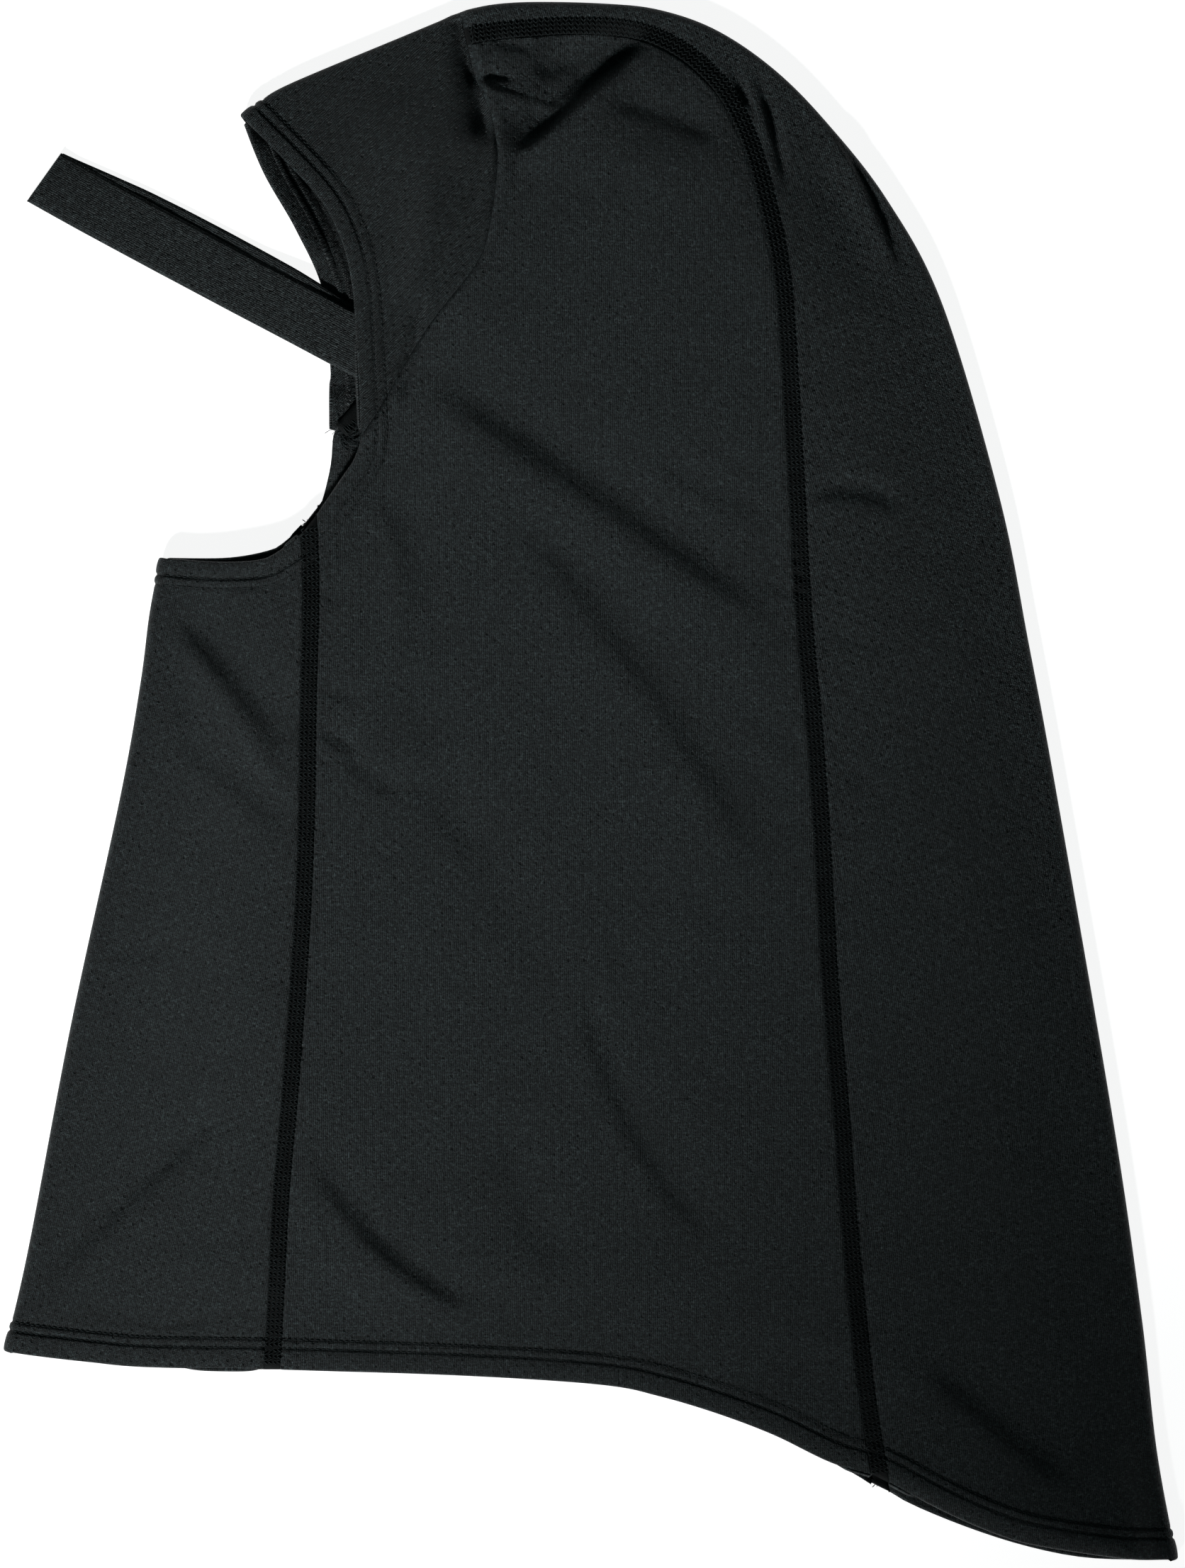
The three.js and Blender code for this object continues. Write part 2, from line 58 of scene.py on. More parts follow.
# Lines of the pattern as they lie, each a short list of x, y. Upper lines belong to the left half on top, and
# lower lines to the right half beneath it.
LINES = {
    "brow_fold": [(-113.5, 215.5), (-107.5, 220), (-97.5, 226), (-60.5, 241.5), (-42.5, 249)],
    "crown_fold": [
        (-42.45, 249.05), (-33, 251.5), (-19, 252.5), (4, 252), (22, 250), (40.5, 243.5), (59, 231),
    ],
    "tail_fold": [
        (76, 214), (96, 188.5), (114, 154.5), (132.5, 92), (142, 44.5), (151, -4), (169.5, -111),
        (178.5, -173), (183.5, -217), (190, -252),
    ],
    "front_fold": [
        (-139.5, 72.5), (-143, 54.5), (-146, 31.5), (-152.5, -5), (-168.5, -79), (-182.5, -152.5),
        (-190, -184.5),
    ],
    "brow_seam": [
        (-42.5, 249), (-39.9, 238), (-37.5, 228), (-33, 217.5), (-30.7, 208), (-30.2, 197), (-33.5, 175),
        (-38.8, 164), (-54, 144.5), (-68, 120.6), (-73.5, 112.5),
    ],
    "brow_seam_lower": [
        (-42.5, 249), (-36.5, 229), (-31, 208), (-30, 197), (-34, 174), (-39.5, 164), (-58, 144), (-76, 121),
        (-83, 113.5),
    ],
    "brow_edge": [(-74.5, 112.5), (-76, 145.5), (-77.5, 162.5), (-81.5, 177), (-90, 191), (-113.5, 215.5)],
    "brow_edge_lower": [
        (-84.2, 114), (-84.5, 134), (-87, 159), (-95.5, 178.5), (-106, 197), (-113.5, 215.5),
    ],
    "cheek_edge": [(-74, 111), (-76.5, 104), (-80.5, 98), (-88, 87)],
    "cheek_edge_lower": [(-83.5, 112), (-84.5, 101.5), (-87, 91.5), (-88.5, 89)],
    "chin_edge": [(-94, 79.5), (-100.5, 74.5), (-107.5, 71.5), (-122, 71), (-139.5, 72.5)],
    "chin_edge_lower": [(-94.5, 82), (-99, 78), (-104, 75), (-118, 72.5), (-139.5, 72.5)],
    "crown_seam": [
        (-40.6, 241.2), (-29.5, 242.8), (-19.5, 243.7), (-8, 244.4), (6, 244.3), (16, 242.8), (24.5, 239.4),
        (32, 234.8), (39.5, 228), (45, 220.6),
    ],
    "back_seam": [
        (49, 213), (52.8, 203), (56.8, 188), (60.7, 170), (62.8, 152), (64.4, 128), (66.5, 92), (68.8, 52),
        (72, 18), (74.7, -21), (77.2, -65), (80.6, -105), (83.6, -145), (88.5, -193), (93.5, -225),
    ],
    "back_seam_lower": [
        (49, 213), (53.5, 203), (60, 180), (64, 149), (67, 106), (73, 25), (78, -67), (85.5, -165),
        (94, -229),
    ],
    "chin_seam": [
        (-91, 83), (-90.3, 59), (-91.2, 19), (-91.5, -5), (-92.6, -37), (-94.6, -69), (-97, -101),
        (-99.8, -133), (-101.5, -165), (-103, -190),
    ],
    "chin_seam_lower": [(-90.9, 86), (-90.5, 56), (-91.5, 7), (-96.5, -90), (-101.5, -165), (-103, -190)],
    "hem_front": [(-190, -184.5), (-180, -186), (-162, -188), (-143.5, -189.5), (-103, -190)],
    "hem_side": [
        (-103, -190), (-42, -192), (4, -195), (22, -198.5), (40.5, -204), (59, -211), (77.5, -220),
        (93.5, -225),
    ],
    "hem_side_lower": [
        (-103, -190), (-42, -192), (4, -195), (22, -198.5), (40.5, -204), (59, -211), (77.5, -220.5),
        (94, -229),
    ],
    "hem_back": [
        (93.5, -225), (108.5, -233), (123, -240), (137.5, -245.5), (152, -248.5), (173.5, -251.5),
        (190, -252),
    ],
    "hem_back_lower": [
        (94, -229), (105, -235), (123.5, -242.5), (142, -248.3), (160, -251.8), (178.5, -252.5), (190, -252),
    ],
}

# Creases of the upper cloth. Columns: name, from, to, bow to the left, height of the crest, and its width to
# the left and to the right.
CREASES = [
    ("temple", (-58, 131), (63, 45), 0, 1.8, 6, 15),
    ("cheek", (-25, 82), (61, -48), 5, 1.3, 8, 16),
    ("shoulder", (-3, -38), (35, -148), -5, 1.2, 8, 15),
    ("collar", (-90, -121), (-33, -176), -9, 1.8, 6, 8),
    ("throat", (-133, 50), (-100, 10), 0, 1.4, 6, 9),
    ("collarbone", (-134, 12), (-100, -16), 0, 0.9, 6, 9),
    ("jaw", (-70, 96), (-56, 36), 4, 0.9, 5, 9),
    ("breast", (-180, -160), (-117, -102), 1, -1.4, 7, 8),
    ("crown_puff", (-38, 232), (16, 240), -15, 2.4, 9, 5),
    ("crown_hollow", (8, 215), (42, 206), 0, -1.2, 9, 9),
    ("brow_tuck", (-45, 246), (-37, 205), 0, -1.8, 5, 6),
    ("brow_ridge", (-62, 150), (-49, 190), 0, 1.0, 8, 8),
    ("nape", (72, 95), (101, 87), 2, -1.0, 5, 5),
    ("tail", (120, -90), (160, -215), 4, 1.2, 24, 20),
]

# Finer folds and pulls that lie on the creases, with the same columns.
FINE_FOLDS = [
    ("temple_valley", (-62, 142), (70, 50), -3, -1.9, 16, 6),
    ("temple_pull", (-54, 158), (-61, 122), 0.5, -1.7, 1.6, 3.0),
    ("cheek_valley", (-30, 99), (62, -36), 5, -1.4, 15, 6),
    ("jaw_valley", (-69, 98), (-58, 36), 6, -1.1, 9, 3.5),
    ("long_fold", (-62, 48), (-4, -78), -5, -0.8, 13, 6),
    ("jowl", (-58, 4), (-36, -26), 1, -0.9, 9, 5),
    ("shoulder_valley", (-3, -58), (42, -150), -7, -1.9, 11, 4),
    ("neck_valley", (-30, -104), (-10, -160), -2, -1.1, 10, 5),
    ("collar_valley", (-91, -114), (-30, -171), -9, -1.6, 7, 3.6),
    ("collar_ridge", (-96, -126), (-48, -180), -9, 0.8, 4, 5),
    ("chin_pull_high", (-88, 60), (-77, 60), 0, -0.35, 2.5, 2),
    ("chin_pull_mid", (-88, 29), (-73, 26), 1, -0.9, 2.4, 1.8),
    ("chin_pull_low", (-88, 16), (-74, 9), 1, -1.1, 3.5, 2.2),
    ("chin_pull_last", (-80, 8), (-60, -5), 0, -1.0, 3.5, 2.2),
    ("crown_pull_long", (16, 107), (64, 84), -1, -1.0, 6, 3.5),
    ("crown_pull_short", (33, 112), (62, 96), -1, -0.4, 3, 2.5),
    ("seam_pull_first", (50, 84), (68, 76), 0, -0.6, 1.4, 1.1),
    ("seam_pull_second", (51, 78), (69, 70), 0, -0.6, 1.4, 1.1),
    ("seam_pull_third", (55, 70.5), (70, 65), 0, -0.6, 1.4, 1.1),
    ("seam_pull_fourth", (54, 64.5), (71, 59.5), 0, -0.6, 1.4, 1.1),
    ("back_pull_high", (44, 29), (71, 9), 0, -0.5, 3, 3),
    ("back_pull_low", (46, 8), (70, -7), 0, -0.4, 3, 3),
    ("nape_fold", (66, 90), (103, 87.5), 6, -0.9, 2.6, 1.9),
    ("nape_ridge", (67, 85), (101, 82.5), 6, 0.4, 2.5, 5),
    ("nape_pull", (73, 47), (100, 42), 1, -0.4, 2.5, 2.5),
    ("shoulder_pull", (78, 6), (99, -6), 0, -0.5, 3, 3),
    ("tail_hollow", (106, -184), (160, -228), 0, -2.4, 12, 5),
    ("tail_rise", (78, -216), (205, -256), 0, 2.6, 42, 9),
    ("hem_rise", (-5, -190), (92, -217), 0, 1.3, 26, 8),
    ("throat_valley", (-137, 60), (-95, 9), 1, -1.9, 11, 4.5),
    ("throat_ridge", (-134, 50), (-96, -8), 0, 0.8, 4, 4),
    ("front_fold_pull", (-143, 48), (-127, 14), 0, -0.8, 5, 4),
    ("collarbone_valley", (-136, 17), (-97, -17), 1, -1.1, 8, 4),
    ("chest_pull", (-164, -56), (-128, -54), 0, -0.8, 6, 3),
    ("breast_valley", (-188, -171), (-112, -100), 1, -2.1, 9, 3),
    ("hem_pull", (-131, -153), (-105, -144), 0, -0.6, 4, 3),
    ("hem_dip", (-137, -175.5), (-104, -169), -0.5, -1.0, 2.2, 1.6),
    ("hem_dip_far", (-168, -170), (-128, -175), -1, -0.5, 3, 2),
    ("side_hem_pull_high", (62, -175), (84, -171), 0, -0.5, 2.5, 2.5),
    ("side_hem_pull_mid", (56, -190), (84, -183), -1.5, -0.9, 2.2, 2.2),
    ("side_hem_pull_low", (54, -194.5), (84, -193), -0.5, -0.4, 1.5, 1.5),
    ("temple_ridge", (28, 180), (-2, 130), 0, 0.5, 5, 6),
    ("ear_hollow", (-14, 193), (18, 189), 0, -0.4, 6, 6),
    ("brow_crest", (-52, 200), (-56, 150), 1, 0.7, 5, 6),
    ("seam_ridge", (-26, 200), (-33, 172), 0, 0.5, 2.5, 3.5),
    ("brow_tuck_edge", (-44, 252), (-32, 201), 0, -1.3, 1.4, 5),
    ("crescent", (-28, 201), (20, 247), -1, -4.1, 9, 2.4),
    ("crescent_fall", (-22, 212), (2, 233), 0, -1.6, 9, 2.5),
    ("crescent_rim", (-25, 199), (24, 243), -1, 1.2, 1.5, 8),
    ("crescent_left", (-40, 229.5), (-7, 219), -1.6, -1.2, 9, 1.4),
    ("crescent_tip", (-41, 229), (-24, 226.5), 0, -1.2, 2.4, 0.9),
    ("puff_hollow", (-19, 228), (10, 240), 1, -1.8, 5, 3.2),
    ("crown_shade", (4, 221), (43, 207.5), 1.5, -1.3, 8, 3.6),
    ("puff_dimple", (-32, 240), (-18, 237), 0, -0.8, 2, 2),
    ("ripple_high", (50.5, 239), (52, 217), -3, -1.5, 1.6, 1.5),
    ("ripple_ridge", (51.5, 231), (58, 203), 0, 0.8, 1.8, 1.8),
    ("ripple_low", (52.5, 236), (63.5, 190), 1, -1.3, 2.2, 1.7),
]

# Folds that stand at full height right up to where the cloth turns over, with the same columns.
EDGE_FOLDS = [
    ("brow_tuck_fold", (-46, 264), (-30.5, 202), 0, -2.6, 1.2, 4.0),
    ("crown_lip", (75, 213), (100, 160), 2.4, 1.5, 0.9, 6),
    ("crown_lip_foot", (78.5, 213), (103, 161), 2.6, -0.5, 3.0, 1.2),
]

# Head strap. Columns: x and y of the middle of the upper layer, how far across the strap the lower layer is
# shifted, and the heights of the undersides of the upper and the lower layer.
STRAP = [
    (-62.0, 134.0, 0.0, 3.6, 1.4), (-70.5, 138.5, 0.2, 3.4, 1.5), (-75.5, 141.1, 0.5, 3.1, 1.9),
    (-84.0, 145.6, 1.6, 3.0, 2.15), (-92.0, 149.9, 2.4, 2.75, 2.05), (-101.0, 154.7, 3.1, 1.8, 1.15),
    (-112.0, 160.5, 3.4, 0.9, 0.2), (-124.0, 166.9, 3.5, 0.68, 0.0), (-137.0, 173.8, 3.4, 0.64, 0.0),
    (-150.0, 180.8, 2.9, 0.64, 0.0), (-162.0, 187.3, 1.8, 0.64, 0.0), (-171.0, 192.3, 0.8, 0.68, 0.0),
    (-177.5, 196.0, 0.2, 0.7, 0.0),
]

# Distances from an edge at which a panel has a line of its mesh, close together where the cloth bends
AT_HEM = [0, 0.1, 0.25, 0.45, 0.7, 1.0, 1.4, *np.arange(1.8, 11.7, 0.4), 12.4, 13.6, 15.2]
AT_SEAM = [0, 0.2, 0.45, 0.8, 1.3, 2.0, 2.9, 4.0, 5.4, 7.0]
AT_FOLD = [0, 0.7, 1.4, 2.1, 2.9, 3.8, 4.9, 6.2, 7.7]
AT_END = [0]

# Other measures, in millimetres
FACE_ROWS = (5.6, 8.7)  # distances of the two rows of stitches from the face opening's edge
HEM_ROWS = (7.0, 9.9)  # the same from the bottom hem's edge
SEAM_ROWS = (-2.13, -0.71, 0.71, 2.13)  # distances of a flat seam's looped rows from its middle
BROW_STRIP = (-1.0, 0.2, 1.4, 2.8, 4.0)  # columns of its raw edges' mesh, by distance from a brow seam
BROW_START = 30  # distance from the fold at which the raw edges begin, where there is room for them
SIDE_LEVEL = 105.0  # length of back seam on which a side panel's rows from its brow seam end
BULGE_REACH = 120  # distance over which a curved end of a panel fades into straight rows
CUT_REACH = 12  # distance over which a line's points are drawn along to meet a cut
EDGE_ROUND = 0.7  # radius that rounds a turned edge
LOWEST = 2.8  # least height of the upper half's outside, which keeps it clear of the lower half
EASE = 0.25  # how softly a height gives way to that least height
LIFT = 0.35  # room under the lower half for its stitches, which the rest of it lies flat without
BESIDE_SEAM = 0.22  # how far the cloth dips beside a flat seam
STITCH_FLOOR = 0.3  # least height of a stitch's middle under the lower half
FAR_RIM = 3.4  # how far the far edge at the brow stands up
TUFT_AT = (-80.0, 112.5, 2.9)  # where the loose thread ends stand out at the face
UNDER_STITCHES = 9.0  # value of stitch_row on the cloth between a seam's threads, which the thread material darkens as painted shade

# Meshes of the panels: about how wide each is, which spaces its columns, and the equal steps down its length
BROW_WIDTH = 140
BACK_WIDTH = 95
CHIN_WIDTH = 70
SIDE_WIDTH = 165
BROW_STEPS = 62
BACK_STEPS = 238
CHIN_STEPS = 104

# Floor, light and camera
FLOOR_SIZE = 8  # width of the floor, in metres
FLOOR_DROP = 0.0004  # how far it lies under the hood, in metres, so that their faces don't meet
KEY_PLACE = (-1.74, -3.42, 2.0)  # place of the light, in metres
KEY_TARGET = (-0.06, 0.125, 0.0)  # where its beam is aimed, in metres
KEY_CONE = 10.3  # full angle of the beam, in degrees
KEY_FADE = 0.85  # share of the beam that fades towards its rim
KEY_SIZE = 0.2  # radius of the light, in metres
SKY_COLOUR = (0.55, 1.0, 0.98, 1.0)  # blue-green, because that is the tint of the knit's soft shine
VIEW_HEIGHT = 508.76  # height of the camera's view on the floor, in millimetres
VIEW_MIDDLE = (0.575, -0.92)  # x and y of the middle of that view, in millimetres


class HoodSizes(bpy.types.PropertyGroup):
    """Sizes of the cloth, the seams and the strap"""

    cloth: FloatProperty(
        name="Cloth", description="Thickness of one wall of knit", default=0.001, unit="LENGTH", precision=4
    )
    hem_cloth: FloatProperty(
        name="Hem cloth", description="Thickness of a turned hem", default=0.0015, unit="LENGTH", precision=4
    )
    fold_radius: FloatProperty(
        name="Fold radius", description="Outside radius where the cloth turns over", default=0.0024,
        unit="LENGTH", precision=4,
    )
    loft: FloatProperty(
        name="Loft", description="Height of the upper cloth in the middle", default=0.012, unit="LENGTH",
        precision=4,
    )
    edge_loft: FloatProperty(
        name="Edge loft", description="Height of the upper cloth along an open edge", default=0.0086,
        unit="LENGTH", precision=4,
    )
    seam_width: FloatProperty(
        name="Seam width", description="Width of a flat seam", default=0.0058, unit="LENGTH", precision=4
    )
    seam_pitch: FloatProperty(
        name="Seam stitch", description="Length of a stitch of a flat seam", default=0.00192, unit="LENGTH",
        precision=5,
    )
    hem_pitch: FloatProperty(
        name="Hem stitch", description="Length of a stitch of a hem", default=0.00184, unit="LENGTH",
        precision=5,
    )
    strap_width: FloatProperty(
        name="Strap width", description="Width of the head strap", default=0.019, unit="LENGTH", precision=4
    )
    strap_cloth: FloatProperty(
        name="Strap cloth", description="Thickness of one layer of the strap", default=0.0005, unit="LENGTH",
        precision=4,
    )
    puckers: FloatProperty(
        name="Pulls", description="Depth of the small pulls beside a seam", default=0.00046, unit="LENGTH",
        precision=5,
    )
    seed: IntProperty(name="Seed", description="Seed of the cloth's unevenness", default=7, min=0)


class KnitLook(bpy.types.PropertyGroup):
    """Colours and finish of the knit, the thread and the strap"""

    knit: FloatVectorProperty(
        name="Knit", description="Colour of the knit", subtype="COLOR", size=3, min=0, max=1,
        default=(0.0105, 0.0146, 0.0152),
    )
    thread: FloatVectorProperty(
        name="Thread", description="Colour of the seams' thread", subtype="COLOR", size=3, min=0, max=1,
        default=(0.0148, 0.0202, 0.0208),
    )
    strap: FloatVectorProperty(
        name="Strap", description="Colour of the strap's knit", subtype="COLOR", size=3, min=0, max=1,
        default=(0.0135, 0.0175, 0.0180),
    )
    dot_across: FloatProperty(
        name="Dots across", description="Distance between pin dots across the wales, in millimetres",
        default=5.06, min=1,
    )
    dot_along: FloatProperty(
        name="Dots along", description="Distance between pin dots along the wales, in millimetres",
        default=3.9, min=1,
    )
    wale: FloatProperty(
        name="Wale", description="Width of one wale of the knit, in millimetres", default=0.63, min=0.1
    )
    roughness: FloatProperty(
        name="Roughness", description="Roughness of the knit", default=0.55, min=0, max=1, subtype="FACTOR"
    )
    sheen: FloatProperty(
        name="Sheen", description="Soft shine of the knit's fibres", default=0.015, min=0, max=1,
        subtype="FACTOR",
    )


class StageLook(bpy.types.PropertyGroup):
    """Floor, light and camera"""

    floor: FloatVectorProperty(
        name="Floor", description="Colour of the floor", subtype="COLOR", size=3, min=0, max=1,
        default=(0.5, 0.5, 0.5),
    )
    glow: FloatProperty(name="Glow", description="Light that the floor itself gives", default=0.9, min=0)
    key_power: FloatProperty(
        name="Key light", description="Power of the light from the lower left", default=1035, min=0,
        unit="POWER",
    )
    sky: FloatProperty(name="Sky", description="Strength of the soft light all round", default=0.037, min=0)
    height: FloatProperty(
        name="Camera height", description="Height of the camera above the floor", default=1.8, unit="LENGTH"
    )


def smooth(t):
    """Smooth step from 0 to 1."""
    t = np.clip(t, 0, 1)
    return t * t * (3 - 2 * t)


def unit(vectors):
    """The same directions, one long."""
    return vectors / np.linalg.norm(vectors, axis=-1, keepdims=True)


class Line:
    """A smooth line through a short list of x, y, measured along its length."""

    def __init__(self, points):
        given = np.asarray(points, float)
        q = np.vstack([given[:1], given, given[-1:]])
        t = np.linspace(0, 1, 24, endpoint=False)[:, None]
        drawn = []
        for before, a, b, after in zip(q, q[1:], q[2:], q[3:]):
            leave = (b - before) / 2
            arrive = (after - a) / 2
            cubic = 2 * a - 2 * b + leave + arrive
            square = 3 * b - 3 * a - 2 * leave - arrive
            drawn.append(cubic * t**3 + square * t**2 + leave * t + a)
        self.points = np.vstack([*drawn, given[-1:]])
        steps = np.linalg.norm(np.diff(self.points, axis=0), axis=1)
        self.run = np.concatenate([[0], np.cumsum(steps)])
        self.length = self.run[-1]

    def at(self, along):
        return np.column_stack([np.interp(along, self.run, self.points[:, k]) for k in (0, 1)])

    def heading(self, along):
        ahead = np.minimum(along + 1.0, self.length)
        behind = np.maximum(along - 1.0, 0)
        return unit(self.at(ahead) - self.at(behind))

    def left(self, along):
        heading = self.heading(along)
        return np.column_stack([-heading[:, 1], heading[:, 0]])

    def beside(self, along, distance, first_cut=None, last_cut=None):
        """Points moved to the left of the line. A cut is the direction of the edge that an end meets, and the
        points near that end are drawn along to meet it."""
        left = self.left(along)
        moved = self.at(along) + left * distance
        for end, cut in ((0, first_cut), (-1, last_cut)):
            if cut is not None:
                edge = unit(np.asarray(cut, float))
                drawn = edge * distance / (edge @ left[end]) - left[end] * distance
                near = np.clip(1 - np.abs(along - along[end]) / CUT_REACH, 0, 1)
                moved += drawn * (near**2)[:, None]
        return moved

    def nearest(self, x, y, spacing=1.8):
        """Distance from each place to this line, and how far along it the nearest point is."""
        count = max(2, int(self.length / spacing) + 1)
        along = np.linspace(0, self.length, count)
        p = self.at(along)
        best = np.full(x.shape, np.inf)
        where = np.zeros(x.shape)
        for k in range(count - 1):
            d = p[k + 1] - p[k]
            t = np.clip(((x - p[k, 0]) * d[0] + (y - p[k, 1]) * d[1]) / (d @ d), 0, 1)
            far = np.hypot(x - p[k, 0] - t * d[0], y - p[k, 1] - t * d[1])
            closer = far < best
            best = np.where(closer, far, best)
            where = np.where(closer, along[k] + t * (along[k + 1] - along[k]), where)
        return best, where


def stations(length, count, first=AT_END, last=AT_END):
    """Distances along a line: those of each end's list, and count equal steps between them."""
    inner = np.linspace(first[-1], length - last[-1], count + 1)[1:-1]
    return np.concatenate([first, inner, length - np.asarray(last, float)[::-1]])


def lower(name):
    """The name of a line's own course on the lower half, where it has one."""
    return name + "_lower" if name + "_lower" in LINES else name


def named(name, layer):
    return name if layer == "upper" else lower(name)


def joined(layer, *names, backwards=()):
    """One line through several of the table's lines."""
    points = []
    for name in names:
        stretch = LINES[named(name, layer)]
        stretch = stretch[::-1] if name in backwards else stretch
        points += [p for p in stretch if not points or math.dist(p, points[-1]) > 3]
    return Line(points)


LAYERS = ("upper", "lower")
OUTLINES = {
    "brow": Line(LINES["brow_fold"]),
    "crown": Line([*LINES["crown_fold"], *LINES["tail_fold"]]),
    "front": Line(LINES["front_fold"]),
}
FACE = {
    layer: joined(layer, "brow_edge", "cheek_edge", "chin_edge", backwards=("brow_edge",)) for layer in LAYERS
}
HEM = {layer: joined(layer, "hem_front", "hem_side", "hem_back") for layer in LAYERS}
BACK_SEAM = {layer: Line([*LINES["crown_seam"], *LINES[named("back_seam", layer)]]) for layer in LAYERS}
CHIN_SEAM = {layer: Line(LINES[named("chin_seam", layer)]) for layer in LAYERS}
BROW_SEAM = {layer: Line(LINES[named("brow_seam", layer)]) for layer in LAYERS}

# Directions of the edges that the two ends of a flat seam meet
CHIN_CUTS = {"first_cut": (26, 33), "last_cut": (1, 0)}
BACK_CUTS = {"first_cut": (-2.6, 11), "last_cut": (16, -8)}


def creased(x, y, creases, fading=0.3):
    """Height that a table of creases adds at each place. A crease fades over this share of its length at each
    end."""
    height = np.zeros_like(x)
    for _, start, end, bow, rise, left, right in creases:
        dx, dy = end[0] - start[0], end[1] - start[1]
        length = math.hypot(dx, dy)
        t = ((x - start[0]) * dx + (y - start[1]) * dy) / length**2
        aside = ((y - start[1]) * dx - (x - start[0]) * dy) / length - bow * 4 * t * (1 - t)
        fade = smooth(t / fading) * smooth((1 - t) / fading)
        height += rise * fade * np.exp(-((aside / np.where(aside > 0, left, right)) ** 2))
    return height


def unevenness(x, y, seed):
    """Soft irregular swells of the cloth, about 1 high or low, from waves in many directions."""
    chance = np.random.default_rng(seed)
    swell = np.zeros_like(x)
    for wave, share in ((58, 0.5), (31, 0.3), (17, 0.14), (9, 0.06)):
        for _ in range(7):
            turn = chance.uniform(0, math.pi)
            across = wave * chance.uniform(0.75, 1.35)
            phase = (x * math.cos(turn) + y * math.sin(turn)) * 2 * math.pi / across
            swell += share * np.sin(phase + chance.uniform(0, 2 * math.pi)) / 2.2
    return swell


def pulled(distance, along, depth, seed, spacing=11.0):
    """Small slanting pulls beside a seam, unevenly spaced, which die out away from it and spare the seam."""
    chance = np.random.default_rng(seed)
    pulls = np.zeros_like(distance)
    for spot in np.arange(4.0, along.max(), spacing):
        spot += chance.normal(0, spacing * 0.45)
        reach = chance.uniform(5, 15)
        width = chance.uniform(1.4, 3.2)
        slant = chance.normal(0, 0.45)
        share = chance.uniform(-0.35, 1.0)
        pulls -= share * np.exp(-(((along - spot - slant * distance) / width) ** 2) - (distance / reach) ** 2)
    return depth * pulls * smooth((distance - 2.4) / 2.5)


def hem_relief(edge, rows):
    """Height of a turned hem above the plain cloth, by distance from its edge: a soft tube, two sunk rows of
    stitches with a low rib between them, and the cloth's own level beyond."""
    near, far = rows
    tube = np.sin(math.pi * np.clip(edge / near, 0, 1)) ** 0.8
    rib = np.sin(math.pi * (edge - near) / (far - near))
    relief = 0.3 * smooth((far + 0.9 - edge) / 1.2)
    relief += 0.34 * np.where(edge < near, tube, 0)
    relief += 0.12 * np.where((edge > near) & (edge < far), rib, 0)
    for row in rows:
        relief -= 0.42 * np.exp(-(((edge - row) / 0.5) ** 2))
    return relief - rounding(edge)


def rounding(edge):
    """How far the surface falls close to the cloth's turned edge. Just short of a full quarter round."""
    inward = 0.95 * np.clip(EDGE_ROUND - edge, 0, EDGE_ROUND)
    return EDGE_ROUND - np.sqrt(EDGE_ROUND**2 - inward**2)


